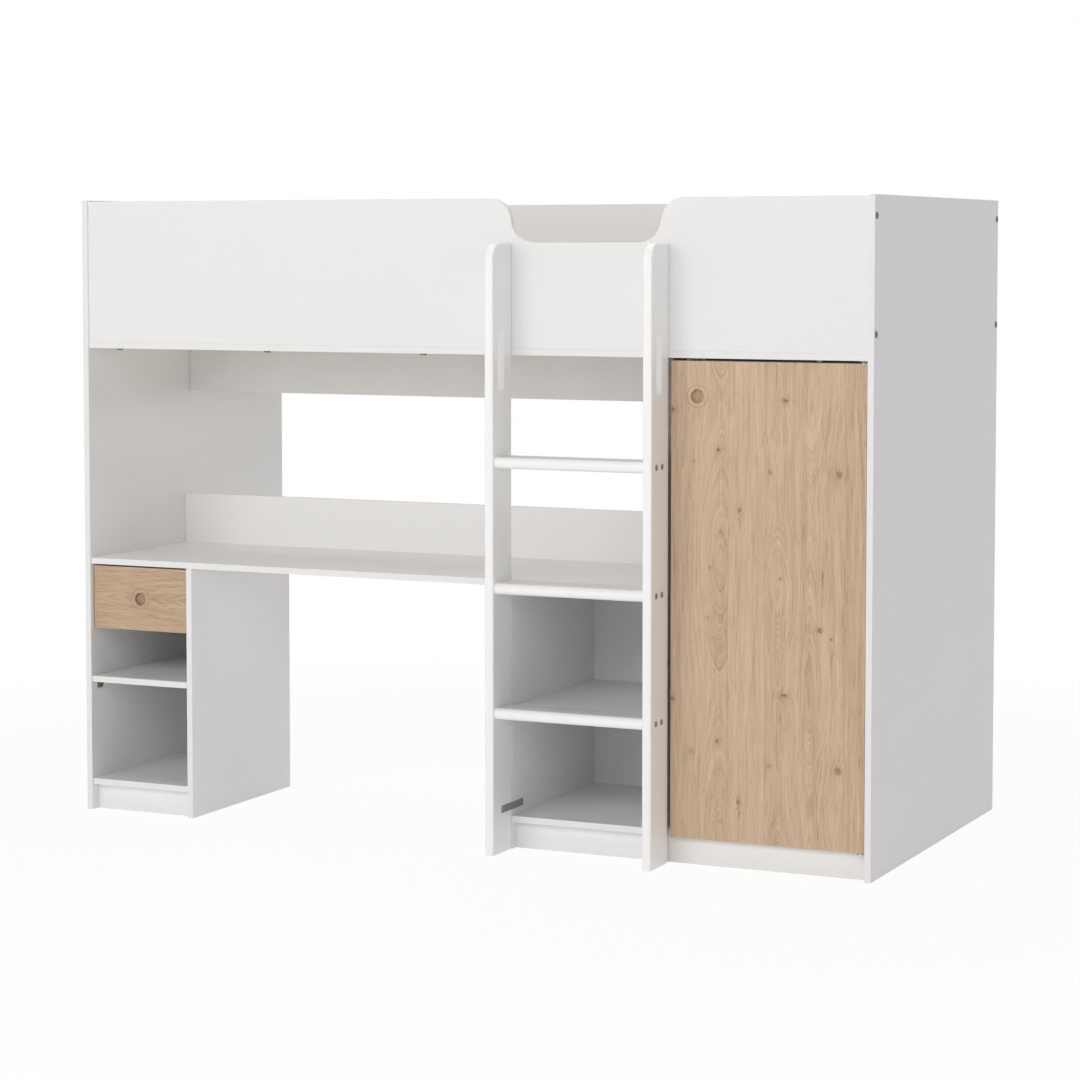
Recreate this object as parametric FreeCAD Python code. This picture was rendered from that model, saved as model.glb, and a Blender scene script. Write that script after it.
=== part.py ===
import FreeCAD, Part
import math
import os

V = FreeCAD.Vector
X_AXIS = V(1, 0, 0)
Y_AXIS = V(0, 1, 0)
Z_AXIS = V(0, 0, 1)

# High sleeper bed with desk, bookcase, wardrobe and ladder, in millimetres.
# X runs along the bed from the left end panel, Y from the front edges of the end panels to the back,
# and Z up from the floor. Every solid is moved to the middle of the footprint when it is written.

# Overall sizes
bed_length = 2040.0
bed_depth = 947.0
end_panel_height = 1508.0
board = 15.0
back_board = 3.0
front_setback = 4.5
edge_break = 0.8
fit_gap = 0.3
overrun = 2.0

# Sleeping deck
guard_drop = 3.0
guard_height = 344.0
scoop_floor_width = 262.0
scoop_drop = 101.0
scoop_radius = 55.0
ledge_depth = 60.0
beam_height = 141.0
slat_count = 13
slat_width = 70.0
slat_thickness = 15.0
slat_end_gap = 2.0

# Desk
desk_height = 628.0
upstand_height = 142.0
upstand_setback = 22.0

# Cabinets
pedestal_width = 273.0
wardrobe_width = 475.0
cabinet_beam_lap = 7.5
back_inset = 5.0
back_groove_depth = 4.0
plinth_height = 63.0
plinth_setback = 22.0
shelf_height = 334.0
wardrobe_shelf_drop = 206.0
shelf_end_gap = 0.5
shelf_back_gap = 4.0
shelf_front_gap = 15.0

# Shelf pins and their rows of holes
pin_peg_diameter = 5.0
pin_peg_length = 8.0
pin_hole_depth = 9.0
pin_row_inset = 31.0
pin_width = 17.0
pin_height = 18.0
pin_reach = 10.0
pin_wall = 3.0
pin_peg_drop = 11.0

# Hanging rail, an oval tube in two end sockets
rail_drop = 60.0
tube_height = 30.0
tube_width = 15.0
tube_wall = 1.2
socket_depth = 12.0
socket_floor = 3.0
socket_wall = 4.0

# Ladder
ladder_width = 368.0
rail_thickness = 22.0
rail_depth = 100.0
rail_top_gap = 1.0
rail_corner_radius = 38.0
rail_rear_radius = 8.0
rail_edge = 2.5
grip_width = 25.0
grip_length = 136.0
grip_edge = 5.5
grip_centre_drop = 268.5
grip_centre_inset = 43.0
rung_first_height = 329.0
rung_pitch = 287.5
rung_thickness = 26.5
rung_depth = 77.0
rung_inset = 6.0
rung_back_radius = 4.0
rung_names = ("lower", "middle", "upper")

# Plates that join the ladder rails to the cabinet sides
plate_length = 113.0
plate_height = 16.0
plate_thickness = 2.0
plate_centre_height = 102.0
plate_screw_shares = (-0.37, -0.16, 0.16, 0.37)

# Wardrobe door and its pivots
door_floor_gap = 62.5
door_top_gap = 6.0
door_side_gap = 5.0
door_hinge_gap = 2.5
door_recess = 1.5
door_pull_inset = 63.0
door_pull_drop = 79.0
pivot_edge = 9.0
pivot_depth = 6.5
pivot_diameter = 5.0
pivot_clearance = 0.05
pivot_engagement = 12.0
swing_clearance = 2.0
bush_diameter = 8.0
bush_length = 14.0
bush_flange_diameter = 11.0
bush_flange = 1.7
steel_plate = 2.0
pivot_plate_length = 44.0
pivot_plate_overhang = 8.5
pivot_screw_pitch = 14.0
pivot_screw_inset = 7.0
bracket_leg = 34.0
bracket_width = 16.0

# Door catch
catch_width = 45.0
catch_height = 15.0
catch_depth = 14.0
catch_nose_width = 22.5
catch_ear = 3.0
catch_inset = 30.0
catch_plate = 1.0
catch_plate_width = 24.0
catch_screw_share = 0.36

# Finger pulls in the door and the drawer
pull_diameter = 50.5
pull_sides = 22
pull_depth = 11.5
pull_clearance = 0.15
finger_diameter = 31.0
finger_depth = 9.5
pull_edge = 0.8
finger_edge = 1.4

# Drawer
drawer_top_gap = 4.5
drawer_front_height = 155.5
drawer_side_gap = 2.5
drawer_recess = 7.5
drawer_board = 12.0
drawer_back_gap = 46.0
drawer_side_height = 110.0
drawer_side_lift = 12.0
drawer_bottom_lift = 8.0
drawer_groove_depth = 4.0
runner_height = 16.0
runner_thickness = 9.0
runner_clearance = 0.3
runner_screw_shares = (0.1, 0.9)

# Fasteners
hole_clearance = 0.12
tip_gap = 1.0
head_sides = 8
shank_sides = 6
bolt_head_diameter = 16.0
bolt_head_height = 2.5
bolt_diameter = 6.0
bolt_length = 56.0
bolt_inset = 43.0
nut_diameter = 10.0
nut_length = 12.0
nut_distance = 34.0
ledge_screw_head_diameter = 16.0
ledge_screw_head_height = 3.5
ledge_screw_length = 50.0
ledge_screw_shares = (0.042, 0.249, 0.458, 0.542, 0.751, 0.944)
rung_screw_pitch = 32.0
rung_screw_head_diameter = 13.0
rung_screw_head_height = 2.0
rung_screw_length = 60.0
ladder_bolt_head_diameter = 13.0
ladder_bolt_head_height = 3.0
ladder_bolt_length = 50.0
ladder_bolt_height_shares = (0.2, 0.62)
wood_screw_head_diameter = 6.6
wood_screw_head_height = 1.6
wood_screw_diameter = 3.5
wood_screw_length = 13.0
dowel_diameter = 8.0
dowel_in_face = 9.0
dowel_in_edge = 20.0
dowel_end_gap = 0.5
dowel_row_shares = (0.12, 0.88)
floor_dowel_shares = (0.4, 0.6)

# Places worked out from the sizes
right_inner = bed_length - board
divider_left = right_inner - wardrobe_width - board
divider_right = divider_left + board
ladder_left = divider_left - ladder_width
bookcase_outer = ladder_left - board
pedestal_right = board + pedestal_width
pedestal_outer = pedestal_right + board
guard_top = end_panel_height - guard_drop
deck = guard_top - guard_height
underside = deck - board
desk_under = desk_height - board
beam_front = bed_depth / 2
beam_under = deck - beam_height
cabinet_back = beam_front + cabinet_beam_lap
desk_back = cabinet_back - upstand_setback - board
back_face = cabinet_back - back_inset - back_board
plinth_face = front_setback + plinth_setback
shelf_under = shelf_height - board
wardrobe_shelf_height = underside - wardrobe_shelf_drop
guard_back = front_setback + board
guard_middle = front_setback + board / 2
rear_guard_front = bed_depth - front_setback - board
rear_guard_middle = bed_depth - guard_middle
rail_front = front_setback - rail_depth
rail_height = guard_top - scoop_drop - rail_top_gap
grip_centre_height = rail_height - grip_centre_drop
door_face = front_setback + door_recess
door_back = door_face + board
door_left = divider_left + rail_thickness + door_side_gap
door_right = right_inner - door_hinge_gap
door_top = underside - door_top_gap
pivot_x = door_right - pivot_edge
pivot_y = door_face + pivot_depth
swing_radius = math.hypot(pivot_edge, board - pivot_depth)
wardrobe_floor_front = pivot_y + swing_radius + swing_clearance
drawer_face = front_setback + drawer_recess
drawer_rear_face = drawer_face + board
drawer_rear = back_face - drawer_back_gap
drawer_top = desk_under - drawer_top_gap
drawer_bottom_edge = drawer_top - drawer_front_height
drawer_side_under = drawer_bottom_edge + drawer_side_lift
runner_middle = drawer_side_under + drawer_side_height / 2
frame_shift = V(-bed_length / 2, -(rail_front + bed_depth) / 2, 0)

solids = {}
drillings = {}


def add(node, *shapes):
    """Put solids into a node."""
    solids.setdefault(node, []).extend(shapes)


def drill(node, cutter):
    """Remember a hole that is cut from a node when it is written."""
    drillings.setdefault(node, []).append(cutter)


def block(x, y, z):
    """Plain block between a low and a high value on each axis."""
    return Part.makeBox(x[1] - x[0], y[1] - y[0], z[1] - z[0], V(x[0], y[0], z[0]))


def panel(x, y, z):
    """Board whose edges are all broken by the same small chamfer."""
    raw = block(x, y, z)
    return raw.makeChamfer(edge_break, raw.Edges)


def prism(points, along):
    """Solid swept straight from a closed polygon."""
    return Part.Face(Part.makePolygon(points + points[:1])).extrude(along)


def placed(shape, seat, axis):
    """Move a shape that was made along Z from the origin to a seat and an axis."""
    shape.Placement = FreeCAD.Placement(seat, FreeCAD.Rotation(Z_AXIS, axis))
    return shape


def bar(sides, diameter, length, seat, axis):
    """Many-sided bar from a seat along an axis, for the small pieces that repeat and for their holes."""
    turns = [math.tau * side / sides for side in range(sides)]
    radius = diameter / 2
    points = [V(radius * math.cos(turn), radius * math.sin(turn), 0) for turn in turns]
    return placed(prism(points, V(0, 0, length)), seat, axis)


def taper(sides, first_diameter, last_diameter, length, seat, axis):
    """Many-sided bar that narrows or widens steadily from its first diameter to its last."""
    rings = []
    for diameter, height in ((first_diameter, 0), (last_diameter, length)):
        turns = [math.tau * side / sides for side in range(sides)]
        ring = [V(diameter / 2 * math.cos(turn), diameter / 2 * math.sin(turn), height) for turn in turns]
        rings.append(Part.makePolygon(ring + ring[:1]))
    return placed(Part.makeLoft(rings, True, True), seat, axis)


def bore(sides, diameter, length, seat, axis):
    """Cutter for the hole that takes such a bar, larger by the hole clearance."""
    return bar(sides, diameter + hole_clearance + hole_clearance, length, seat, axis)


def fastener(node, seat, axis, head, shank, boards):
    """Headed fastener: its head stands on the seat, its shank runs along the axis through the boards."""
    head_diameter, head_height = head
    diameter, length = shank
    top = seat - axis * head_height
    cap = bar(head_sides, head_diameter, head_height, top, axis)
    stem = bar(shank_sides, diameter, length, seat, axis)
    add(node, cap.fuse(stem).removeSplitter())
    for name in boards:
        drill(name, bore(shank_sides, diameter, length + tip_gap, seat, axis))


def wood_screw(seat, axis, boards):
    """Small pan-head screw, the one size used for all fittings."""
    head = (wood_screw_head_diameter, wood_screw_head_height)
    shank = (wood_screw_diameter, wood_screw_length)
    fastener("wood_screws", seat, axis, head, shank, boards)


def dowel(face_board, edge_board, point, axis):
    """Dowel across a butt joint: short end in the face board, long end in the edge board."""
    start = point - axis * dowel_in_face
    length = dowel_in_face + dowel_in_edge
    add("wood_dowels", bar(shank_sides, dowel_diameter, length, start, axis))
    hole_length = length + dowel_end_gap + dowel_end_gap
    hole = bore(shank_sides, dowel_diameter, hole_length, start - axis * dowel_end_gap, axis)
    drill(face_board, hole)
    drill(edge_board, hole)


def dowel_row(face_board, edge_board, x, depth, z, axis):
    """Dowels at the front and the back of a joint that runs along Y."""
    for share in dowel_row_shares:
        y = depth[0] + share * (depth[1] - depth[0])
        dowel(face_board, edge_board, V(x, y, z), axis)


def end_panels():
    """Full-depth boards that carry the bed at both ends."""
    add("left_end_panel", panel((0, board), (0, bed_depth), (0, end_panel_height)))
    add("right_end_panel", panel((right_inner, bed_length), (0, bed_depth), (0, end_panel_height)))


def scoop_outline():
    """Front guard outline: a rectangle whose top dips in two S-curves of equal arcs to the entry."""
    middle = ladder_left + ladder_width / 2
    floor = guard_top - scoop_drop
    sweep = math.acos(1 - scoop_drop / (scoop_radius + scoop_radius))
    run = scoop_radius * math.sin(sweep)
    half_sag = scoop_radius * (1 - math.cos(sweep / 2))
    half_run = scoop_radius * math.sin(sweep / 2)
    edges = []
    for side in (-1, 1):
        foot = middle + side * scoop_floor_width / 2
        bend = V(foot + side * run, front_setback, floor + scoop_drop / 2)
        lip = V(foot + side * (run + run), front_setback, guard_top)
        toe = V(foot, front_setback, floor)
        lower = V(foot + side * half_run, front_setback, floor + half_sag)
        upper = V(lip.x - side * half_run, front_setback, guard_top - half_sag)
        edges.append((toe, lower, bend, upper, lip))
    left_toe, left_lower, left_bend, left_upper, left_lip = edges[0]
    right_toe, right_lower, right_bend, right_upper, right_lip = edges[1]
    low = V(board, front_setback, deck)
    low_end = V(right_inner, front_setback, deck)
    top = V(board, front_setback, guard_top)
    top_end = V(right_inner, front_setback, guard_top)
    return Part.Wire([
        Part.makeLine(low, top),
        Part.makeLine(top, left_lip),
        Part.Arc(left_lip, left_upper, left_bend).toShape(),
        Part.Arc(left_bend, left_lower, left_toe).toShape(),
        Part.makeLine(left_toe, right_toe),
        Part.Arc(right_toe, right_lower, right_bend).toShape(),
        Part.Arc(right_bend, right_upper, right_lip).toShape(),
        Part.makeLine(right_lip, top_end),
        Part.makeLine(top_end, low_end),
        Part.makeLine(low_end, low),
    ])


def guards():
    """Front guard with the entry scoop, and the plain rear guard."""
    front = Part.Face(scoop_outline()).extrude(V(0, board, 0))
    add("front_guard_panel", front.makeChamfer(edge_break, front.Edges))
    rear = (rear_guard_front, rear_guard_front + board)
    add("rear_guard_panel", panel((board, right_inner), rear, (deck, guard_top)))


def deck_supports():
    """Ledges under both guards, the beam between them and the slats on top."""
    span = (board, right_inner)
    add("front_ledge", panel(span, (front_setback, front_setback + ledge_depth), (underside, deck)))
    rear = bed_depth - front_setback
    add("rear_ledge", block(span, (rear - ledge_depth, rear), (underside, deck)))
    add("centre_beam", panel(span, (beam_front, beam_front + board), (beam_under, deck)))
    pitch = (right_inner - board) / slat_count
    reach = (guard_back + slat_end_gap, rear_guard_front - slat_end_gap)
    for index in range(slat_count):
        middle = board + pitch * (index + 1 / 2)
        width = (middle - slat_width / 2, middle + slat_width / 2)
        add("bed_slats", block(width, reach, (deck, deck + slat_thickness)))


def desk():
    """Desk top between the left end panel and the divider, with an upstand along its back."""
    span = (board, divider_left)
    add("desk_top", panel(span, (front_setback, desk_back), (desk_under, desk_height)))
    upstand = (desk_under, desk_under + upstand_height)
    add("desk_upstand", panel(span, (desk_back, desk_back + board), upstand))


def cabinet_back_panel(node, x, top, left_board, right_board):
    """Thin back that stands in stopped grooves of the boards on both sides."""
    y = (back_face, back_face + back_board)
    height = (plinth_height, top)
    tongue = back_groove_depth - fit_gap
    add(node, block((x[0] - tongue, x[1] + tongue), y, height))
    wide = (y[0] - hole_clearance, y[1] + hole_clearance)
    drill(left_board, block((x[0] - back_groove_depth, x[0] + overrun), wide, height))
    drill(right_board, block((x[1] - overrun, x[1] + back_groove_depth), wide, height))


def cabinet_floor(name, x, floor_front, left_board, right_board):
    """Bottom board on a plinth, with one dowel into the board on each side."""
    depth = (floor_front, back_face - fit_gap)
    level = (plinth_height, plinth_height + board)
    add(name + "_bottom", panel(x, depth, level))
    add(name + "_plinth", block(x, (plinth_face, plinth_face + board), (0, plinth_height)))
    middle = plinth_height + board / 2
    for board_name, face, axis, share in ((left_board, x[0], X_AXIS, floor_dowel_shares[0]),
                                          (right_board, x[1], -X_AXIS, floor_dowel_shares[1])):
        y = depth[0] + share * (depth[1] - depth[0])
        dowel(board_name, name + "_bottom", V(face, y, middle), axis)


def cabinet_sides():
    """Upright boards: pedestal side, bookcase side and the tall divider, notched for the beam."""
    depth = (front_setback, cabinet_back)
    add("pedestal_side", panel((pedestal_right, pedestal_outer), depth, (0, desk_under)))
    add("bookcase_side", panel((bookcase_outer, ladder_left), depth, (0, desk_under)))
    add("wardrobe_divider", panel((divider_left, divider_right), depth, (0, underside)))
    notch_x = (divider_left - overrun, divider_right + overrun)
    notch_y = (beam_front - fit_gap, cabinet_back + overrun)
    drill("wardrobe_divider", block(notch_x, notch_y, (beam_under - fit_gap, deck)))


def shelf_pin(face_x, side, y, shelf_low, board_name):
    """Shelf pin: a gusset under the shelf and a peg in the board; side is the way it points."""
    low = y - pin_width / 2
    root = V(face_x, low, shelf_low)
    tip = V(face_x + side * pin_reach, low, shelf_low)
    lip = V(face_x + side * pin_reach, low, shelf_low - pin_wall)
    toe = V(face_x + side * pin_wall, low, shelf_low - pin_height)
    heel = V(face_x, low, shelf_low - pin_height)
    gusset = prism([root, tip, lip, toe, heel], V(0, pin_width, 0))
    seat = V(face_x, y, shelf_low - pin_peg_drop)
    peg = bar(shank_sides, pin_peg_diameter, pin_peg_length, seat, X_AXIS * -side)
    add("shelf_pins", gusset.fuse(peg).removeSplitter())
    pin_hole(board_name, seat, X_AXIS * -side)


def pin_hole(board_name, seat, axis):
    """Blind hole for the peg of a shelf pin or a rail socket."""
    drill(board_name, bore(shank_sides, pin_peg_diameter, pin_hole_depth, seat, axis))


def pinned_shelf(node, x, depth, top, boards):
    """Loose shelf on four pins."""
    span = (x[0] + shelf_end_gap, x[1] - shelf_end_gap)
    add(node, panel(span, depth, (top - board, top)))
    for y in (depth[0] + pin_row_inset, depth[1] - pin_row_inset):
        shelf_pin(x[0], 1, y, top - board, boards[0])
        shelf_pin(x[1], -1, y, top - board, boards[1])


def pedestal():
    """Left pedestal under the desk, with a loose shelf below the drawer."""
    x = (board, pedestal_right)
    boards = ("left_end_panel", "pedestal_side")
    depth = (front_setback, back_face - shelf_back_gap)
    cabinet_floor("pedestal", x, front_setback, *boards)
    cabinet_back_panel("pedestal_back", x, desk_under, *boards)
    pinned_shelf("pedestal_shelf", x, depth, shelf_height, boards)


def bookcase():
    """Open shelves behind the ladder."""
    x = (ladder_left, divider_left)
    boards = ("bookcase_side", "wardrobe_divider")
    depth = (front_setback, back_face - fit_gap)
    cabinet_floor("bookcase", x, front_setback, *boards)
    cabinet_back_panel("bookcase_back", x, desk_under, *boards)
    add("bookcase_shelf", panel(x, depth, (shelf_under, shelf_height)))
    middle = shelf_under + board / 2
    y = (depth[0] + depth[1]) / 2
    dowel(boards[0], "bookcase_shelf", V(x[0], y, middle), X_AXIS)
    dowel(boards[1], "bookcase_shelf", V(x[1], y, middle), -X_AXIS)


def stadium(width, height, length):
    """Upright oval bar along X from the origin: two half rounds joined by flats."""
    radius = width / 2
    rise = height / 2 - radius
    left_low = V(0, -radius, -rise)
    left_high = V(0, -radius, rise)
    right_low = V(0, radius, -rise)
    right_high = V(0, radius, rise)
    outline = Part.Wire([
        Part.makeLine(left_low, left_high),
        Part.Arc(left_high, V(0, 0, rise + radius), right_high).toShape(),
        Part.makeLine(right_high, right_low),
        Part.Arc(right_low, V(0, 0, -rise - radius), left_low).toShape(),
    ])
    return Part.Face(outline).extrude(V(length, 0, 0))


def oval(width, height, x, y, z):
    """Stadium bar between two X values, centred on y and z."""
    solid = stadium(width, height, x[1] - x[0])
    solid.translate(V(x[0], y, z))
    return solid


def hanging_rail():
    """Oval tube under the wardrobe shelf and the two sockets pegged to the boards beside it."""
    y = (wardrobe_floor_front + back_face) / 2
    z = wardrobe_shelf_height - board - rail_drop
    ends = (divider_right + socket_floor + fit_gap, right_inner - socket_floor - fit_gap)
    inner_width = tube_width - tube_wall - tube_wall
    inner_height = tube_height - tube_wall - tube_wall
    inside = oval(inner_width, inner_height, (ends[0] - overrun, ends[1] + overrun), y, z)
    add("hanging_rail", oval(tube_width, tube_height, ends, y, z).cut(inside))
    outer_y = (y - tube_width / 2 - socket_wall, y + tube_width / 2 + socket_wall)
    outer_z = (z - tube_height / 2 - socket_wall, z + tube_height / 2 + socket_wall)
    pocket_width = tube_width + fit_gap + fit_gap
    pocket_height = tube_height + fit_gap + fit_gap
    pocket_ends = (divider_right + socket_floor, right_inner - socket_floor)
    pocket = oval(pocket_width, pocket_height, pocket_ends, y, z)
    places = (
        ("wardrobe_divider", (divider_right, divider_right + socket_depth), divider_right, -X_AXIS),
        ("right_end_panel", (right_inner - socket_depth, right_inner), right_inner, X_AXIS),
    )
    for board_name, x, face, axis in places:
        cup = block(x, outer_y, outer_z).cut(pocket)
        seat = V(face, y, z)
        peg = bar(shank_sides, pin_peg_diameter, pin_peg_length, seat, axis)
        add("hanging_rail_sockets", cup.fuse(peg).removeSplitter())
        pin_hole(board_name, seat, axis)


def wardrobe():
    """Wardrobe inside: floor, back, shelf and hanging rail."""
    x = (divider_right, right_inner)
    boards = ("wardrobe_divider", "right_end_panel")
    cabinet_floor("wardrobe", x, wardrobe_floor_front, *boards)
    cabinet_back_panel("wardrobe_back", x, beam_under - fit_gap, *boards)
    depth = (wardrobe_floor_front + shelf_front_gap, back_face - shelf_back_gap)
    pinned_shelf("wardrobe_shelf", x, depth, wardrobe_shelf_height, boards)
    hanging_rail()


def corner_arc(corner, radius, before, after):
    """Quarter circle that rounds a corner of an outline, from the side before it to the side after it."""
    offset = radius * (1 - math.sqrt(1 / 2))
    return Part.Arc(corner + before * radius, corner + (before + after) * offset, corner + after * radius)


def ladder_rail(x):
    """Ladder rail: round at the top, most at the front, with soft edges and a hand-friendly grip slot."""
    foot = V(x, rail_front, 0)
    heel = V(x, front_setback, 0)
    front_arc = corner_arc(V(x, rail_front, rail_height), rail_corner_radius, -Z_AXIS, Y_AXIS)
    rear_arc = corner_arc(V(x, front_setback, rail_height), rail_rear_radius, -Y_AXIS, -Z_AXIS)
    outline = Part.Wire([
        Part.makeLine(foot, front_arc.StartPoint),
        front_arc.toShape(),
        Part.makeLine(front_arc.EndPoint, rear_arc.StartPoint),
        rear_arc.toShape(),
        Part.makeLine(rear_arc.EndPoint, heel),
        Part.makeLine(heel, foot),
    ])
    rail = Part.Face(outline).extrude(V(rail_thickness, 0, 0))
    outer = [edge for edge in rail.Edges if on_broad_face(edge) and edge.BoundBox.ZMax > fit_gap]
    rail = rail.makeChamfer(rail_edge, outer)
    slot = oval(grip_width, grip_length, (x - overrun, x + rail_thickness + overrun),
                rail_front + grip_centre_inset, grip_centre_height)
    rail = rail.cut(slot)
    rim = [edge for edge in rail.Edges if on_broad_face(edge) and slot.BoundBox.isInside(edge.BoundBox)]
    return rail.makeChamfer(grip_edge, rim)


def on_broad_face(edge):
    """True for an edge that lies in one of a rail's two broad faces."""
    return edge.BoundBox.XLength < fit_gap


def rung(z):
    """Tread between the rails with a fully round nose and softened back edges."""
    nose = rail_front + rung_inset
    back = nose + rung_depth
    radius = rung_thickness / 2
    x = ladder_left
    low = z - radius
    high = z + radius
    outline = Part.Wire([
        Part.makeLine(V(x, nose + radius, high), V(x, back, high)),
        Part.makeLine(V(x, back, high), V(x, back, low)),
        Part.makeLine(V(x, back, low), V(x, nose + radius, low)),
        Part.Arc(V(x, nose + radius, low), V(x, nose, z), V(x, nose + radius, high)).toShape(),
    ])
    tread = Part.Face(outline).extrude(V(ladder_width, 0, 0))
    back_edges = [edge for edge in tread.Edges
                  if edge.BoundBox.YMin > back - fit_gap and edge.BoundBox.XLength > fit_gap]
    return tread.makeFillet(rung_back_radius, back_edges)


def rung_screws(node, z):
    """Flat-headed screws through both rails into the ends of one rung."""
    middle = rail_front + rung_inset + rung_depth / 2
    head = (rung_screw_head_diameter, rung_screw_head_height)
    shank = (bolt_diameter, rung_screw_length)
    sides = (
        ("ladder_rail_left", ladder_left - rail_thickness, X_AXIS),
        ("ladder_rail_right", divider_left + rail_thickness, -X_AXIS),
    )
    for rail, face, axis in sides:
        for y in (middle - rung_screw_pitch / 2, middle + rung_screw_pitch / 2):
            fastener("rung_screws", V(face, y, z), axis, head, shank, (rail, node))


def ladder():
    """Two rails against the front guard and the cabinet sides, with three rungs between them."""
    add("ladder_rail_left", ladder_rail(ladder_left - rail_thickness))
    add("ladder_rail_right", ladder_rail(divider_left))
    for index, name in enumerate(rung_names):
        node = "ladder_rung_" + name
        z = rung_first_height + index * rung_pitch
        add(node, rung(z))
        rung_screws(node, z)


def ladder_fixings():
    """Bolts from the guard into the rails, and steel plates from the rails to the cabinet sides."""
    head = (ladder_bolt_head_diameter, ladder_bolt_head_height)
    shank = (bolt_diameter, ladder_bolt_length)
    reach = rail_height - deck
    rails = (
        ("ladder_rail_left", ladder_left - rail_thickness / 2),
        ("ladder_rail_right", divider_left + rail_thickness / 2),
    )
    for rail, x in rails:
        for share in ladder_bolt_height_shares:
            seat = V(x, guard_back, deck + share * reach)
            boards = ("front_guard_panel", rail)
            fastener("ladder_bolts", seat, -Y_AXIS, head, shank, boards)
    half_length = plate_length / 2
    half_height = plate_height / 2
    y = (front_setback - half_length, front_setback + half_length)
    z = (plate_centre_height - half_height, plate_centre_height + half_height)
    places = (
        ((ladder_left, ladder_left + plate_thickness), -X_AXIS, ladder_left + plate_thickness,
         "ladder_rail_left", "bookcase_side"),
        ((divider_left - plate_thickness, divider_left), X_AXIS, divider_left - plate_thickness,
         "ladder_rail_right", "wardrobe_divider"),
    )
    for x, axis, face, rail, side in places:
        add("joining_plates", block(x, y, z))
        for share in plate_screw_shares:
            seat = V(face, front_setback + share * plate_length, plate_centre_height)
            carrier = rail if share < 0 else side
            wood_screw(seat, axis, ("joining_plates", carrier))


def end_bolts():
    """Connector bolts through the end panels into barrel nuts in both guards."""
    head = (bolt_head_diameter, bolt_head_height)
    shank = (bolt_diameter, bolt_length)
    ends = (
        ("left_end_panel", 0, board, X_AXIS),
        ("right_end_panel", bed_length, right_inner, -X_AXIS),
    )
    guards_by_side = (
        ("front_guard_panel", guard_middle, guard_back, -Y_AXIS),
        ("rear_guard_panel", rear_guard_middle, rear_guard_front, Y_AXIS),
    )
    for end, outer, inner, axis in ends:
        for guard, y, inner_face, inward in guards_by_side:
            for z in (deck + bolt_inset, guard_top - bolt_inset):
                seat = V(outer, y, z)
                fastener("end_bolts", seat, axis, head, shank, (end, guard, "barrel_nuts"))
                nut_seat = V(inner + axis.x * nut_distance, inner_face, z)
                barrel_nut(guard, nut_seat, inward)


def barrel_nut(guard, seat, axis):
    """Cross dowel nut, let into the guard from its inner face."""
    add("barrel_nuts", bar(shank_sides, nut_diameter, nut_length, seat, axis))
    drill(guard, bore(shank_sides, nut_diameter, nut_length, seat, axis))


def ledge_screws():
    """Long screws up through both ledges into the guards."""
    head = (ledge_screw_head_diameter, ledge_screw_head_height)
    shank = (bolt_diameter, ledge_screw_length)
    pairs = (
        ("front_ledge", "front_guard_panel", guard_middle),
        ("rear_ledge", "rear_guard_panel", rear_guard_middle),
    )
    for ledge, guard, y in pairs:
        for share in ledge_screw_shares:
            seat = V(board + share * (right_inner - board), y, underside)
            fastener("ledge_screws", seat, Z_AXIS, head, shank, (ledge, guard))


def board_dowels():
    """Dowels of the desk, the upstand, the beam and the divider."""
    middle = desk_under + board / 2
    depth = (front_setback, desk_back)
    dowel_row("left_end_panel", "desk_top", board, depth, middle, X_AXIS)
    dowel_row("wardrobe_divider", "desk_top", divider_left, depth, middle, -X_AXIS)
    dowel_row("desk_top", "pedestal_side", pedestal_right + board / 2, depth, desk_under, -Z_AXIS)
    dowel_row("desk_top", "bookcase_side", bookcase_outer + board / 2, depth, desk_under, -Z_AXIS)
    upstand_y = desk_back + board / 2
    upstand_z = desk_height + (upstand_height - board) / 2
    dowel("left_end_panel", "desk_upstand", V(board, upstand_y, upstand_z), X_AXIS)
    dowel("wardrobe_divider", "desk_upstand", V(divider_left, upstand_y, upstand_z), -X_AXIS)
    beam_y = beam_front + board / 2
    for share in dowel_row_shares:
        z = beam_under + share * beam_height
        dowel("left_end_panel", "centre_beam", V(board, beam_y, z), X_AXIS)
        dowel("right_end_panel", "centre_beam", V(right_inner, beam_y, z), -X_AXIS)


def finger_pull(x, face, z):
    """Round cup let flush into a front: a ring around a blind finger hole, both rims chamfered."""
    front = V(x, face, z)
    collar = V(x, face + pull_edge, z)
    lip_diameter = pull_diameter - pull_edge - pull_edge
    mouth_diameter = finger_diameter + finger_edge + finger_edge
    lip = taper(pull_sides, lip_diameter, pull_diameter, pull_edge, front, Y_AXIS)
    cup = bar(pull_sides, pull_diameter, pull_depth - pull_edge, collar, Y_AXIS)
    hole = bar(pull_sides, finger_diameter, finger_depth, front, Y_AXIS)
    mouth = taper(pull_sides, mouth_diameter, finger_diameter, finger_edge, front, Y_AXIS)
    return lip.fuse(cup).removeSplitter().cut([hole, mouth])


def pull_well(node, x, face, z):
    """Blind bore for a finger pull, with a chamfered rim."""
    front = V(x, face, z)
    diameter = pull_diameter + pull_clearance + pull_clearance
    drill(node, bar(pull_sides, diameter, pull_depth, front, Y_AXIS))
    drill(node, taper(pull_sides, diameter + pull_edge + pull_edge, diameter, pull_edge, front, Y_AXIS))


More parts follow.
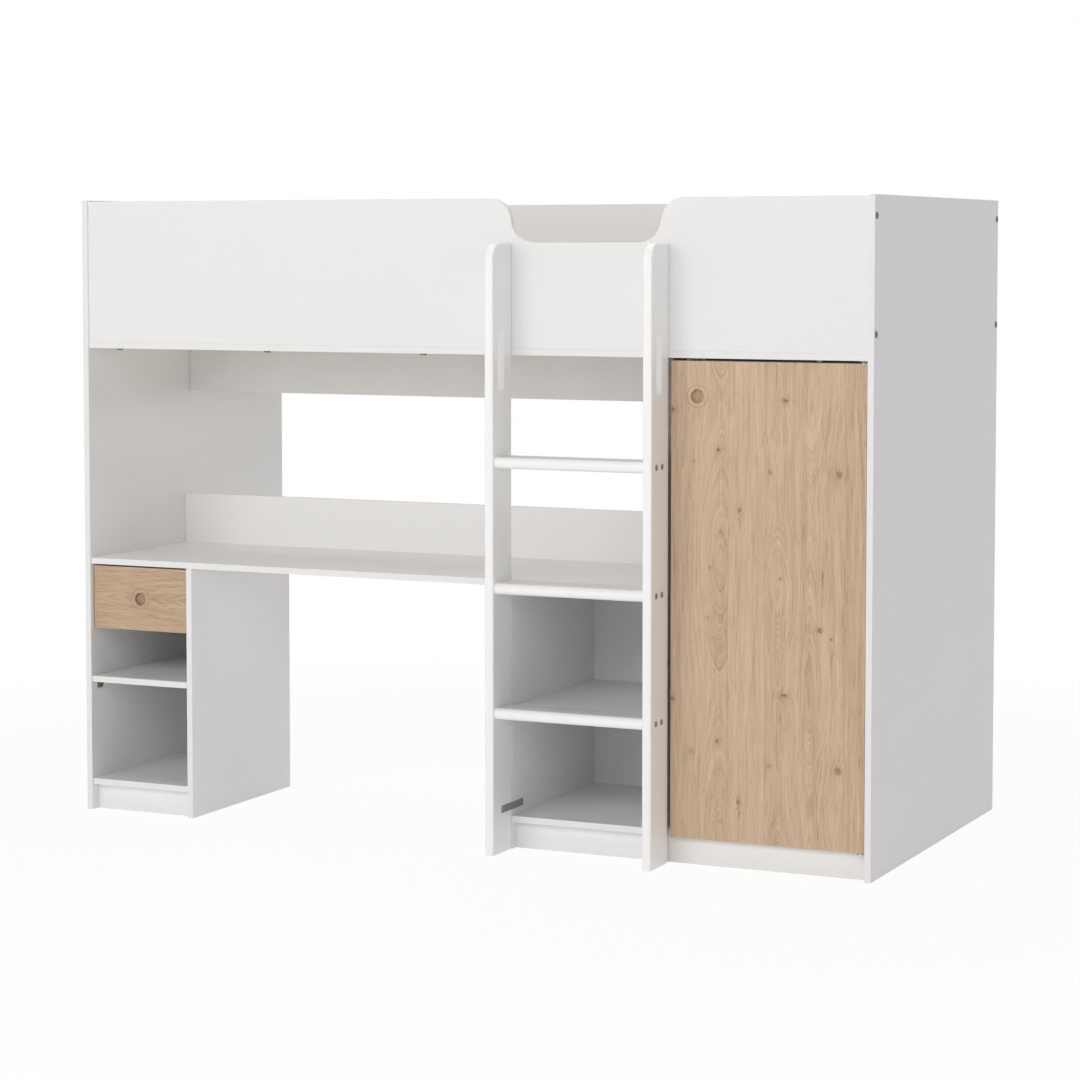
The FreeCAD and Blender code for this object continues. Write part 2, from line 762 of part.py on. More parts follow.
def bush(z, axis):
    """Flanged nylon bush in the top or bottom edge of the door, bored for the pivot pin."""
    seat = V(pivot_x, pivot_y, z)
    sleeve = bar(head_sides, bush_diameter, bush_length, seat, axis)
    flange = bar(head_sides, bush_flange_diameter, bush_flange, seat - axis * bush_flange, axis)
    pin_start = seat - axis * (bush_flange + overrun)
    pin_length = bush_flange + bush_length + overrun + overrun
    pin_bore = Part.makeCylinder(pivot_diameter / 2 + pivot_clearance, pin_length, pin_start, axis)
    add("pivot_bushes", sleeve.fuse(flange).removeSplitter().cut(pin_bore))
    drill("wardrobe_door", bore(head_sides, bush_diameter, bush_length + tip_gap, seat, axis))


def door():
    """Oak door hung on two pivots at its right edge, with its pull and catch plate."""
    add("wardrobe_door", panel((door_left, door_right), (door_face, door_back), (door_floor_gap, door_top)))
    pull_x = door_left + door_pull_inset
    pull_z = door_top - door_pull_drop
    add("door_pull", finger_pull(pull_x, door_face, pull_z))
    pull_well("wardrobe_door", pull_x, door_face, pull_z)
    bush(door_floor_gap, Z_AXIS)
    bush(door_top, -Z_AXIS)
    middle = door_left + catch_inset + catch_width / 2
    plate_x = (middle - catch_plate_width / 2, middle + catch_plate_width / 2)
    plate_z = (underside - catch_height, door_top - edge_break)
    add("catch_plate", block(plate_x, (door_back, door_back + catch_plate), plate_z))


def door_fittings():
    """Top pivot plate under the ledge, bottom pivot bracket on the end panel, and the catch."""
    pin_radius = pivot_diameter / 2
    left = pivot_x - pivot_plate_overhang
    plate_front = pivot_y - pivot_plate_overhang
    plate_y = (plate_front + door_recess, plate_front + pivot_plate_length)
    plate = block((left, right_inner), plate_y, (underside - steel_plate, underside))
    reach = door_top_gap - steel_plate + pivot_engagement
    top_pin = Part.makeCylinder(pin_radius, reach, V(pivot_x, pivot_y, underside - steel_plate), -Z_AXIS)
    add("top_pivot_plate", plate.fuse(top_pin).removeSplitter())
    for step in (0, 1):
        y = plate_y[1] - pivot_screw_inset - step * pivot_screw_pitch
        seat = V(pivot_x, y, underside - steel_plate)
        wood_screw(seat, Z_AXIS, ("top_pivot_plate", "front_ledge"))

    shelf_top = door_floor_gap - bush_flange - fit_gap
    bracket_y = (pivot_y - bracket_width / 2, pivot_y + bracket_width / 2)
    tread = block((left, right_inner), bracket_y, (shelf_top - steel_plate, shelf_top))
    wall = block((right_inner - steel_plate, right_inner), bracket_y, (shelf_top - bracket_leg, shelf_top))
    rise = bush_flange + fit_gap + pivot_engagement
    bottom_pin = Part.makeCylinder(pin_radius, rise, V(pivot_x, pivot_y, shelf_top))
    add("bottom_pivot_bracket", tread.fuse([wall, bottom_pin]).removeSplitter())
    for step in (0, 1):
        z = shelf_top - bracket_leg + pivot_screw_inset + step * pivot_screw_pitch
        seat = V(right_inner - steel_plate, pivot_y, z)
        wood_screw(seat, X_AXIS, ("bottom_pivot_bracket", "right_end_panel"))
    door_catch()


def door_catch():
    """Magnetic catch under the front ledge, with its nose against the plate on the door."""
    x = (door_left + catch_inset, door_left + catch_inset + catch_width)
    front = door_back + catch_plate + fit_gap
    y = (front, front + catch_depth)
    ears = block(x, y, (underside - catch_ear, underside))
    middle = (x[0] + x[1]) / 2
    nose_x = (middle - catch_nose_width / 2, middle + catch_nose_width / 2)
    nose = block(nose_x, y, (underside - catch_height, underside))
    add("door_catch", ears.fuse(nose).removeSplitter())
    for side in (-1, 1):
        screw_x = middle + side * catch_screw_share * catch_width
        seat = V(screw_x, front + catch_depth / 2, underside - catch_ear)
        wood_screw(seat, Z_AXIS, ("door_catch", "front_ledge"))


def drawer():
    """Drawer box behind an inset oak front, with grooved sides that ride on the runners."""
    outer = (board + drawer_side_gap, pedestal_right - drawer_side_gap)
    inner = (outer[0] + drawer_board, outer[1] - drawer_board)
    rear = drawer_rear
    side_z = (drawer_side_under, drawer_side_under + drawer_side_height)
    bottom_low = drawer_side_under + drawer_bottom_lift
    bottom_high = bottom_low + back_board
    add("drawer_front", panel(outer, (drawer_face, drawer_rear_face), (drawer_bottom_edge, drawer_top)))
    add("drawer_side_left", block((outer[0], inner[0]), (drawer_rear_face, rear), side_z))
    add("drawer_side_right", block((inner[1], outer[1]), (drawer_rear_face, rear), side_z))
    add("drawer_back", block(inner, (rear - drawer_board, rear), (bottom_high, side_z[1])))
    tongue = drawer_groove_depth - fit_gap
    bottom_x = (inner[0] - tongue, inner[1] + tongue)
    add("drawer_bottom", block(bottom_x, (drawer_rear_face - tongue, rear), (bottom_low, bottom_high)))
    groove_x = (inner[0] - drawer_groove_depth, inner[1] + drawer_groove_depth)
    groove_y = (drawer_rear_face - drawer_groove_depth, rear + overrun)
    groove = block(groove_x, groove_y, (bottom_low - hole_clearance, bottom_high + hole_clearance))
    for node in ("drawer_front", "drawer_side_left", "drawer_side_right"):
        drill(node, groove)
    middle_x = (outer[0] + outer[1]) / 2
    middle_z = (drawer_bottom_edge + drawer_top) / 2
    add("drawer_pull", finger_pull(middle_x, drawer_face, middle_z))
    pull_well("drawer_front", middle_x, drawer_face, middle_z)


def runners():
    """Runner strips screwed to the boards beside the drawer, and the grooves that take them."""
    y = (drawer_rear_face + fit_gap, drawer_rear)
    z = (runner_middle - runner_height / 2, runner_middle + runner_height / 2)
    groove_y = (drawer_rear_face - overrun, y[1] + overrun)
    groove_z = (z[0] - runner_clearance, z[1] + runner_clearance)
    places = (
        ("left", board, X_AXIS, "left_end_panel"),
        ("right", pedestal_right, -X_AXIS, "pedestal_side"),
    )
    for name, face, axis, carrier in places:
        inner = face + axis.x * runner_thickness
        deep = inner + axis.x * runner_clearance
        strip = block((min(face, inner), max(face, inner)), y, z)
        add("drawer_runner_" + name, strip)
        drill("drawer_side_" + name, block((min(face, deep), max(face, deep)), groove_y, groove_z))
        for share in runner_screw_shares:
            sink = wood_screw_head_height + runner_clearance
            mouth = V(inner, y[0] + share * (y[1] - y[0]), runner_middle)
            seat = mouth - axis * sink
            wood_screw(seat, -axis, ("drawer_runner_" + name, carrier))
            well = bore(head_sides, wood_screw_head_diameter, sink, mouth, -axis)
            drill("drawer_runner_" + name, well)


def write_nodes():
    """Drill every node, move it to the frame of the part and write it."""
    os.makedirs("parts", exist_ok=True)
    for node, shapes in solids.items():
        cutters = drillings.get(node, [])
        finished = [shape.cut(cutters) if cutters else shape for shape in shapes]
        whole = finished[0] if len(finished) == 1 else Part.makeCompound(finished)
        whole.translate(frame_shift)
        whole.exportStep("parts/" + node + ".step")


end_panels()
guards()
deck_supports()
desk()
cabinet_sides()
pedestal()
bookcase()
wardrobe()
ladder()
ladder_fixings()
end_bolts()
ledge_screws()
board_dowels()
door()
door_fittings()
drawer()
runners()
write_nodes()
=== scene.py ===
"""High sleeper bed with desk, bookcase and wardrobe: finishes, rounded pieces, studio and camera.

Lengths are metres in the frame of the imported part: X along the bed, Y to the back, Z up.
"""

import math
from collections import namedtuple

import bpy
import numpy as np
from mathutils import Euler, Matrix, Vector


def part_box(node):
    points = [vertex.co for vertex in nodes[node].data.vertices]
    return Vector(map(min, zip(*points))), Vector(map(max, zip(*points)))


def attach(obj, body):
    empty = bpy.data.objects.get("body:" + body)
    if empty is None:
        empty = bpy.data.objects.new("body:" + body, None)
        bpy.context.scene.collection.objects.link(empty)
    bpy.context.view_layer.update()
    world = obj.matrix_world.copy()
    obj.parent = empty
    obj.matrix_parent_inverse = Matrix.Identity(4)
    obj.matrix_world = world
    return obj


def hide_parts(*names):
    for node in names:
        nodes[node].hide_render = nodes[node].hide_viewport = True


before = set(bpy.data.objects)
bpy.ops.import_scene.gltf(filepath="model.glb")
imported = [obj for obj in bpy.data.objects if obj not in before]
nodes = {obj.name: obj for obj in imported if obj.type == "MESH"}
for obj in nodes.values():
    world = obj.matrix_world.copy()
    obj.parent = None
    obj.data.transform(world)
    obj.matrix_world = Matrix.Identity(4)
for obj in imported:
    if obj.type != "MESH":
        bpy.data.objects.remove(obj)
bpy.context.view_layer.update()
X, Y, Z = range(3)

# Camera, fitted to the corners of the bed in the photograph
CAMERA_PLACE = (3.04784, -6.49748, 1.38925)
CAMERA_YAW = math.radians(24.9684)
CAMERA_PITCH = math.radians(3.5694)
CAMERA_LENS = 97.787
CAMERA_SENSOR = 36.0
CAMERA_SHIFT = -0.10

# Studio
HORIZON_LIGHT = 1.08
HORIZON_FADE = (0.0, 0.7)
# Soft boxes: power, width, height and place
LAMPS = {
    "front": (232.0, 8.0, 3.0, (0.0, -8.0, 4.5)),
    "front_left": (64.0, 5.0, 4.0, (-3.0, -9.0, 1.6)),
    "above": (165.0, 6.0, 6.0, (0.0, 0.6, 6.0)),
}
LAMP_TARGET = (0.0, 0.0, 0.8)
FLOOR_GLOW = 0.28
FLOOR_HALF = 30.0
FLOOR_ALBEDO = 0.82
FLOOR_ROUGHNESS = 0.9
FLOOR_SHADOW_SHARE = 0.10
FLOOR_SHADOW_REACH = (1.6, 3.0)

# Rounded pieces
TINY = 1e-9
WELD_DIGITS = 7
ROUND_STEPS = 6
EDGE_STEPS = 3
FOOT_STEPS = 2
SHARP_ANGLE = math.radians(38.0)
BOARD_EDGE = 0.0007
RAIL_EDGE = 0.0045
RAIL_FRONT_RADIUS = 0.038
RAIL_REAR_RADIUS = 0.008
RAIL_FOOT_RADIUS = 0.0012
RAIL_SIDE_STEPS = 60
RAIL_TOP_STEPS = 12
GRIP_LENGTH = 0.136
GRIP_WIDTH = 0.025
GRIP_INSET = 0.043
GRIP_CENTRE_HEIGHT = 1.1345
GRIP_EDGE = 0.0055
RUNG_BACK_RADIUS = 0.004
SCOOP_DROP = 0.101
SCOOP_RADIUS = 0.055
SCOOP_FLOOR_WIDTH = 0.262
SCOOP_STEPS = 24
SLAT_EDGE = 0.003
SLAT_DIGITS = 5
FRONT_EDGE = 0.0009
TURN_SIDES = 96
WELL_EDGE = 0.0005
PULL_GAP = 0.0003
PULL_EDGE = 0.0007
PULL_LIP = 0.0015
FINGER_RADIUS = 0.0155
FINGER_DEPTH = 0.0095
FINGER_FLOOR_RADIUS = 0.0012
# Black strip in the gap above the door, painted shade for the dark inside: width, clearance, eased edge
SHADE_STRIP_WIDTH = 0.006
SHADE_STRIP_CLEAR = 0.0006
SHADE_STRIP_EDGE = 0.0012
TUBE_WALL = 0.0012
TUBE_FLAT = 1e-6
TUBE_STEPS = 10
BOLT_SIDES = 36
BOLT_HEAD_RADIUS = 0.008
BOLT_HEAD_HEIGHT = 0.0025
BOLT_SHANK_RADIUS = 0.003
BOLT_LENGTH = 0.056
SOCKET_RADIUS = 0.0028
SOCKET_RIM_SHARE = 1.12
SOCKET_LIP = 0.0002
SOCKET_DEPTH_SHARE = 0.7
HEAD_SKIRT_SHARE = 0.35
TIP_SHARE = 0.6
RUNG_SCREW_PITCH = 0.032
RUNG_SCREW_HEAD_RADIUS = 0.0070
RUNG_SCREW_HEAD_HEIGHT = 0.002
RUNG_SCREW_LENGTH = 0.060


class Value:
    """One output socket of a node tree; arithmetic on it adds Math nodes."""

    def __init__(self, tree, socket):
        self.tree = tree
        self.socket = socket

    def math(self, operation, *others):
        return self.tree.node("Math", {"operation": operation}, dict(enumerate((self, *others))))

    def other(self, name):
        """Another output of the same node."""
        return Value(self.tree, self.socket.node.outputs[name])

    def __add__(self, other):
        return self.math("ADD", other)

    def __mul__(self, other):
        return self.math("MULTIPLY", other)

    def __sub__(self, other):
        return self.math("SUBTRACT", other)

    def __rsub__(self, other):
        return (self * -1.0) + other

    def __truediv__(self, other):
        return self.math("DIVIDE", other)

    def __lt__(self, other):
        return self.math("LESS_THAN", other)

    def __abs__(self):
        return self.math("ABSOLUTE")

    __radd__ = __add__

    def smooth(self, low, high):
        """0 below low, 1 above high and an S-curve between them."""
        settings = {"interpolation_type": "SMOOTHSTEP"}
        return self.tree.node("MapRange", settings, {"Value": self, "From Min": low, "From Max": high})

    def bell(self):
        """e to the minus square: 1 at zero, falling off on both sides."""
        return (self * self * -1.0).math("EXPONENT")

    def swing(self, width):
        """A noise from 0 to 1 as a swing about zero, of this width in all."""
        return (self - 0.5) * width


class Tree:
    """A node tree under construction."""

    def __init__(self, tree):
        self.tree = tree

    def node(self, kind, settings, inputs, output=0):
        """Add a node, set its settings, then give its sockets values or links; returns one output."""
        made = self.tree.nodes.new("ShaderNode" + kind)
        for name, value in settings.items():
            setattr(made, name, value)
        for key, value in inputs.items():
            self.plug(made.inputs[key], value)
        return Value(self, made.outputs[output])

    def plug(self, socket, value):
        """Give a socket a link or a constant."""
        if isinstance(value, Value):
            self.tree.links.new(value.socket, socket)
        else:
            socket.default_value = value

    def background_rays(self):
        """1 for the rays that see the white background: camera, glossy and transmission."""
        camera = self.node("LightPath", {}, {}, "Is Camera Ray")
        seen = camera.math("MAXIMUM", camera.other("Is Glossy Ray"))
        return seen.math("MAXIMUM", camera.other("Is Transmission Ray"))


class Finish(Tree):
    """A material under construction, with one Principled shader."""

    def __init__(self, name):
        self.material = bpy.data.materials.new(name)
        self.material.use_nodes = True
        super().__init__(self.material.node_tree)
        self.shader = self.tree.nodes["Principled BSDF"]
        self.place = self.node("TexCoord", {}, {}, "Object")
        split = self.node("SeparateXYZ", {}, {0: self.place})
        self.axes = (split, split.other("Y"), split.other("Z"))

    def noise(self, scale, detail=3.0, roughness=0.5, stretch=(1.0, 1.0, 1.0), shift=(0.0, 0.0, 0.0)):
        """Noise from 0 to 1; stretch divides the frequency along each axis."""
        squeeze = tuple(1.0 / s for s in stretch)
        mapped = self.node("Mapping", {}, {"Vector": self.place, "Location": shift, "Scale": squeeze})
        return self.noise_at(mapped, scale, detail, roughness)

    def noise_at(self, vector, scale, detail, roughness):
        """Noise from 0 to 1 at a vector."""
        inputs = {"Vector": vector, "Scale": scale, "Detail": detail, "Roughness": roughness}
        return self.node("TexNoise", {}, inputs)

    def mix(self, share, first, second):
        """Blend of two colours."""
        return self.node("Mix", {"data_type": "RGBA"}, {0: share, 6: first, 7: second}, 2)

    def tint(self, colour, factor):
        """A colour made lighter or darker by a factor."""
        grey = self.node("CombineColor", {}, {0: factor, 1: factor, 2: factor})
        settings = {"data_type": "RGBA", "blend_type": "MULTIPLY"}
        return self.node("Mix", settings, {0: 1.0, 6: colour, 7: grey}, 2)

    def bump(self, height, distance):
        """Surface relief; height is a value from 0 to 1 and distance its depth."""
        inputs = {"Height": height, "Distance": distance, "Strength": BUMP_STRENGTH}
        self.set("Normal", self.node("Bump", {}, inputs))

    def set(self, name, value):
        """Give one socket of the shader a constant or a link."""
        self.plug(self.shader.inputs[name], value)


def rgba(red, green, blue):
    """Opaque linear colour."""
    return (red, green, blue, 1.0)


def drawn_out(axis, length):
    """Stretch of a pattern along one axis."""
    return tuple(length if index == axis else 1.0 for index in range(3))


# Finishes

BUMP_STRENGTH = 0.5
WHITE = rgba(1.0, 1.0, 1.0)
MELAMINE = rgba(0.836, 0.829, 0.816)
# Cooler copy of the white for the right end panel: painted light, standing in for cooler light falling on
# that side
MELAMINE_PAINTED_COOL_LIGHT = rgba(0.836, 0.816, 0.829)
MELAMINE_ROUGHNESS = 0.42
PEARL_DEPTH = 0.00006
SEAM_INSET = 0.0011
SEAM_WIDTH = 0.0003
SEAM_SHADE = 0.07
RUB_WIDTH = 0.006
RUB_SHADE = 0.025
DUST_HEIGHT = 0.05
DUST_SHADE = 0.04
HARDBOARD = rgba(0.80, 0.795, 0.78)
HARDBOARD_ROUGHNESS = 0.52
ROLLER_DEPTH = 0.00008
LACQUER = rgba(0.925, 0.918, 0.904)
LACQUER_ROUGHNESS = 0.36
LACQUER_DEPTH = 0.00010
# Painted shade on the upper face of a tread: how much darker, how much duller, and the depths below the
# top
TREAD_TOP_SHADE = 0.20
TREAD_TOP_SHADE_ROUGHNESS = 0.12
TREAD_TOP_SHADE_DEPTHS = (0.0014, 0.0003)


def melamine(node, colour=MELAMINE):
    """White faced board: faint mottling, fine pearl relief, the seam of the edge band a millimetre in
    from each edge, rubbed edges and a dusty foot."""
    low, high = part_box(node)
    size = high - low
    thin = min(range(3), key=lambda axis: size[axis])
    finish = Finish("melamine_" + node)
    flat = [axis for axis in range(3) if axis != thin]
    inward = [size[axis] / 2 - abs(finish.axes[axis] - (low[axis] + high[axis]) / 2) for axis in flat]
    border = inward[0].math("MINIMUM", inward[1])
    seam = ((border - SEAM_INSET) / SEAM_WIDTH).bell() * SEAM_SHADE
    rub = (1.0 - border.smooth(0.0, RUB_WIDTH)) * finish.noise(120.0, 4.0, 0.65).smooth(0.45, 0.75)
    mottle = finish.noise(38.0, 4.0, 0.6).swing(0.016)
    cloud = finish.noise(2.3, 2.0).swing(0.014)
    dust = (1.0 - finish.axes[Z].smooth(0.0, DUST_HEIGHT)) * finish.noise(60.0, 5.0, 0.7) * DUST_SHADE
    shade = 1.0 + mottle + cloud - seam - dust - rub * RUB_SHADE
    finish.set("Base Color", finish.tint(colour, shade))
    pearl = finish.noise(950.0, 2.0, 0.5)
    scuff = finish.noise(9.0, 5.0, 0.65).smooth(0.55, 0.8)
    finish.set("Roughness", MELAMINE_ROUGHNESS + pearl.swing(0.10) + scuff * 0.08 + rub * 0.10)
    finish.set("Specular IOR Level", 0.3)
    finish.bump(pearl * 0.7 + finish.noise(210.0, 2.0) * 0.3, PEARL_DEPTH)
    return finish.material


def hardboard(name):
    """Thin white lacquered back: roller marks along the height and a slight fibre relief."""
    finish = Finish(name)
    roller = finish.noise(420.0, 3.0, 0.5, drawn_out(Z, 14.0))
    finish.set("Base Color", finish.tint(HARDBOARD, 1.0 + roller.swing(0.03)))
    finish.set("Roughness", HARDBOARD_ROUGHNESS + finish.noise(55.0).swing(0.12))
    finish.bump(roller, ROLLER_DEPTH)
    return finish.material


def lacquer(name, along, tread_top=None):
    """White satin lacquer over wood: the grain below shows as faint streaks and fine pores. The upper
    face of a tread is painted darker and made duller: painted shade where little light falls from above."""
    finish = Finish(name)
    stretch = drawn_out(along, 26.0)
    streak = finish.noise(300.0, 4.0, 0.6, stretch)
    pore = finish.noise(1500.0, 2.0, 0.5, stretch).smooth(0.62, 0.72)
    cloud = finish.noise(6.0, 3.0, 0.5, stretch).swing(0.02)
    shade = 1.0 + streak.swing(0.03) + cloud - pore * 0.02
    roughness = LACQUER_ROUGHNESS + streak.swing(0.12)
    if tread_top is not None:
        # Painted shade: the tread's upper face darkened in colour, and also made duller
        deep, shallow = TREAD_TOP_SHADE_DEPTHS
        top_shade_and_dulling = finish.axes[Z].smooth(tread_top - deep, tread_top - shallow)
        top_shade_and_dulling = top_shade_and_dulling * (finish.noise(14.0, 4.0, 0.6) * 0.4 + 0.8)
        shade = shade - top_shade_and_dulling * TREAD_TOP_SHADE
        roughness = roughness + top_shade_and_dulling * TREAD_TOP_SHADE_ROUGHNESS
    finish.set("Base Color", finish.tint(LACQUER, shade))
    finish.set("Roughness", roughness)
    finish.set("Coat Weight", 0.10)
    finish.set("Coat Roughness", 0.25)
    finish.bump(streak - pore * 0.5, LACQUER_DEPTH)
    return finish.material


OAK_LIGHT = rgba(0.650, 0.482, 0.335)
OAK_DARK = rgba(0.385, 0.252, 0.150)
OAK_KNOT = rgba(0.215, 0.108, 0.046)
OAK_ROUGHNESS = 0.52
OAK_DEPTH = 0.00012
OAK_REPEAT = 0.654
OAK_BASE_SHARE = 0.18
DOOR_SEED = 3.0
DRAWER_SEED = 8.0
SEED_STEPS = (1.0, 1.7, 0.6)
PLANK_STEP = 17.3
PLANK_SEAM = 0.0011
PLANK_SEAM_SHADE = 0.20
LATE_RISE = (0.20, 0.90)
LATE_FALL = (0.92, 1.0)
LATE_SHADE = 0.32
# Painted shade in the finger well: strength, and the depths behind the face over which it grows
WELL_PAINTED_SHADE = 0.45
WELL_PAINTED_SHADE_DEPTHS = (0.0012, 0.0090)

# Noises of the print: scale, detail, roughness, how far they are drawn out along the grain, and weight:
# for the first three the sideways bend of the rings, for the others a share of the dark colour
Grain = namedtuple("Grain", "scale detail roughness length weight")
RING_BENDS = (
    Grain(9.0, 3.0, 0.55, 5.0, 0.030),
    Grain(70.0, 2.0, 0.50, 2.5, 0.0055),
    Grain(260.0, 2.0, 0.60, 3.0, 0.0016),
)
FIBRE = Grain(620.0, 3.0, 0.60, 34.0, 0.75)
BROAD = Grain(70.0, 3.0, 0.60, 34.0, 0.80)
DASH = Grain(330.0, 2.0, 0.55, 14.0, 0.44)
PORE = Grain(1500.0, 1.0, 0.50, 34.0, 0.12)
DASH_EDGE = (0.56, 0.76)
PORE_EDGE = (0.60, 0.70)
# Noises that follow the rings: steps per ring and per metre, detail, roughness, weight
Strand = namedtuple("Strand", "per_ring per_metre detail roughness weight")
STREAK = Strand(0.55, 4.0, 4.0, 0.65, 1.15)
THREAD = Strand(2.3, 9.0, 3.0, 0.60, 1.00)
# Knots: the unevenness of their outline, then for each bell how fast it falls off with the squared
# distance, and its strength; the cloud shades streaks more than plain wood, the core has a crisp edge
KNOT_JITTER = 0.013
SWIRL_FALL = 0.10
SWIRL_RINGS = 2.6
CLOUD_FALL = 0.16
CLOUD_SHADE = 0.34
CLOUD_STREAK = 1.8
CLOUD_PLAIN = 0.1
CORE_FALL = 1.1
CORE_EDGE = (0.12, 0.80)

# A plank of the print: its far edge and heart line across the grain, depth of the pith, rings per metre
# and tone; then the lobe that draws the rings into arches: where it starts along the grain, its rise and
# fall as shares of one repeat, its rings, and its reach across the grain
Plank = namedtuple("Plank", "edge heart pith density tone start rise fall rings reach")
DOOR_PLANKS = (
    Plank(0.138, 0.121, 0.010, 200.0, 0.02, 0.330, 0.46, 1.00, 22.0, 0.050),
    Plank(0.225, 0.330, 0.020, 250.0, -0.04, 0.100, 0.50, 1.00, 3.0, 0.150),
    Plank(0.322, 0.258, 0.009, 210.0, 0.07, 0.400, 0.27, 0.52, 8.0, 0.060),
    Plank(0.411, 0.330, 0.009, 190.0, 0.02, 0.101, 0.36, 1.00, 9.0, 0.100),
    Plank(0.470, 0.540, 0.020, 240.0, 0.09, 0.050, 0.50, 1.00, 3.0, 0.150),
)
DRAWER_PLANKS = (
    Plank(0.170, 0.078, 0.018, 250.0, 0.24, -0.030, 0.60, 1.00, 7.0, 0.140),
)
# Knots of one repeat: place across and along, half width, half length, darkness
Knot = namedtuple("Knot", "across along width length dark")
DOOR_KNOTS = (
    Knot(0.004, 0.315, 0.0060, 0.0045, 0.60),
    Knot(0.273, 0.339, 0.0085, 0.0045, 0.75),
    Knot(0.114, 0.226, 0.0042, 0.0058, 0.75),
    Knot(0.054, 0.199, 0.0050, 0.0050, 0.25),
    Knot(0.238, 0.179, 0.0048, 0.0060, 0.35),
    Knot(0.399, 0.179, 0.0085, 0.0095, 0.60),
    Knot(0.164, 0.092, 0.0042, 0.0075, 0.65),
    Knot(0.166, 0.066, 0.0018, 0.0190, 0.45),
    Knot(0.121, 0.045, 0.0055, 0.0060, 0.22),
    Knot(0.095, 0.615, 0.0032, 0.0028, 0.75),
    Knot(0.261, 0.598, 0.0030, 0.0040, 0.55),
    Knot(0.361, 0.600, 0.0020, 0.0240, 0.55),
    Knot(0.355, 0.488, 0.0062, 0.0055, 0.70),
    Knot(0.381, 0.470, 0.0018, 0.0020, 0.90),
    Knot(0.090, 0.503, 0.0052, 0.0052, 0.30),
)
DRAWER_KNOTS = (
    Knot(0.056, 0.107, 0.0028, 0.0100, 0.26),
    Knot(0.040, 0.160, 0.0040, 0.0090, 0.16),
)


def plank_rings(across, bent, along, planks):
    """Ring number and tone over the planks. A plank counts rings by the distance from a pith under its
    heart line, less a lobe that rises and falls once in a repeat and fades away from the heart; a dark
    seam runs along its edge."""
    rings = tone = nearer = 0.0
    for index, plank in enumerate(planks):
        from_heart = bent - plank.heart
        distance = (from_heart * from_heart + plank.pith ** 2).math("SQRT")
        share = ((along - plank.start) / OAK_REPEAT).math("FRACT")
        lobe = share.smooth(0.0, plank.rise) - share.smooth(plank.rise, plank.fall)
        arches = lobe * (from_heart / plank.reach).bell() * plank.rings
        inside = across < plank.edge
        mask = inside - nearer
        nearer = inside
        rings = rings + mask * (distance * plank.density - arches + index * PLANK_STEP)
        tone = mask * plank.tone + ((across - plank.edge) / PLANK_SEAM).bell() * PLANK_SEAM_SHADE + tone
    return rings, tone


def knot_marks(finish, across, along, knots, shift):
    """Swirl of the rings, shaded surroundings and dark core of the knots: bells of three widths over the
    elliptic distance from each, which noise makes uneven; the core's bell has a crisp edge."""
    wrapped = (along / OAK_REPEAT).math("FRACT") * OAK_REPEAT
    jolt = finish.noise(140.0, 3.0, 0.65, shift=shift).swing(KNOT_JITTER)
    sideways = across + jolt
    upward = wrapped - jolt
    swirl = cloud = core = 0.0
    for knot in knots:
        x = (sideways - knot.across) / knot.width
        z = (upward - knot.along) / knot.length
        reach = x * x + z * z
        swirl = swirl + (reach * -SWIRL_FALL).math("EXPONENT") * (knot.dark * SWIRL_RINGS)
        cloud = cloud + (reach * -CLOUD_FALL).math("EXPONENT") * (knot.dark * CLOUD_SHADE)
        core = (reach * -CORE_FALL).math("EXPONENT").smooth(*CORE_EDGE) * knot.dark + core
    return swirl, cloud, core


def oak(name, corner, across_axis, along_axis, planks, knots, seed, painted_well_shade=0.0):
    """Oak print: rings drawn into arches and bent round knots, streaks that follow the rings, short dark
    dashes, fibres and pores along the grain; the rings darken towards their late edge. A turned cup is
    darker with depth behind the face: painted shade in the recess of the finger well."""
    finish = Finish(name)
    across = finish.axes[across_axis] - corner[across_axis]
    along = finish.axes[along_axis] - corner[along_axis]
    shift = tuple(seed * step for step in SEED_STEPS)

    def grain(kind):
        stretch = drawn_out(along_axis, kind.length)
        return finish.noise(kind.scale, kind.detail, kind.roughness, stretch, shift)

    def strand(kind, depth):
        inputs = {X: rings * kind.per_ring, Y: along * kind.per_metre, Z: depth}
        return finish.noise_at(finish.node("CombineXYZ", {}, inputs), 1.0, kind.detail, kind.roughness)

    bent = across
    for bend in RING_BENDS:
        bent = bent + grain(bend).swing(bend.weight)
    rings, tone = plank_rings(across, bent, along, planks)
    swirl, cloud, core = knot_marks(finish, across, along, knots, shift)
    rings = rings + swirl
    streak = strand(STREAK, seed)
    thread = strand(THREAD, seed * 2.0)
    phase = rings.math("FRACT")
    late = phase.smooth(*LATE_RISE) - phase.smooth(*LATE_FALL)
    fibre = grain(FIBRE)
    broad = grain(BROAD)
    dash = grain(DASH).smooth(*DASH_EDGE)
    pore = grain(PORE).smooth(*PORE_EDGE)
    share = streak.swing(STREAK.weight) + thread.swing(THREAD.weight) + late * streak * LATE_SHADE
    share = share + broad.swing(BROAD.weight) + fibre.swing(FIBRE.weight)
    share = share + dash * DASH.weight + pore * PORE.weight + tone
    share = share + cloud * (streak * CLOUD_STREAK + CLOUD_PLAIN) + OAK_BASE_SHARE
    # Painted shade: the cup darkens with depth in the finger well
    if painted_well_shade:
        share = share + (finish.axes[Y] - corner[Y]).smooth(*WELL_PAINTED_SHADE_DEPTHS) * painted_well_shade
    wood = finish.mix(share, OAK_LIGHT, OAK_DARK)
    finish.set("Base Color", finish.mix(core, wood, OAK_KNOT))
    finish.set("Roughness", OAK_ROUGHNESS + fibre.swing(0.18) - late * 0.05)
    finish.set("Specular IOR Level", 0.35)
    finish.bump(fibre * 0.5 - pore * 0.7 - late * 0.2, OAK_DEPTH)
    return finish.material


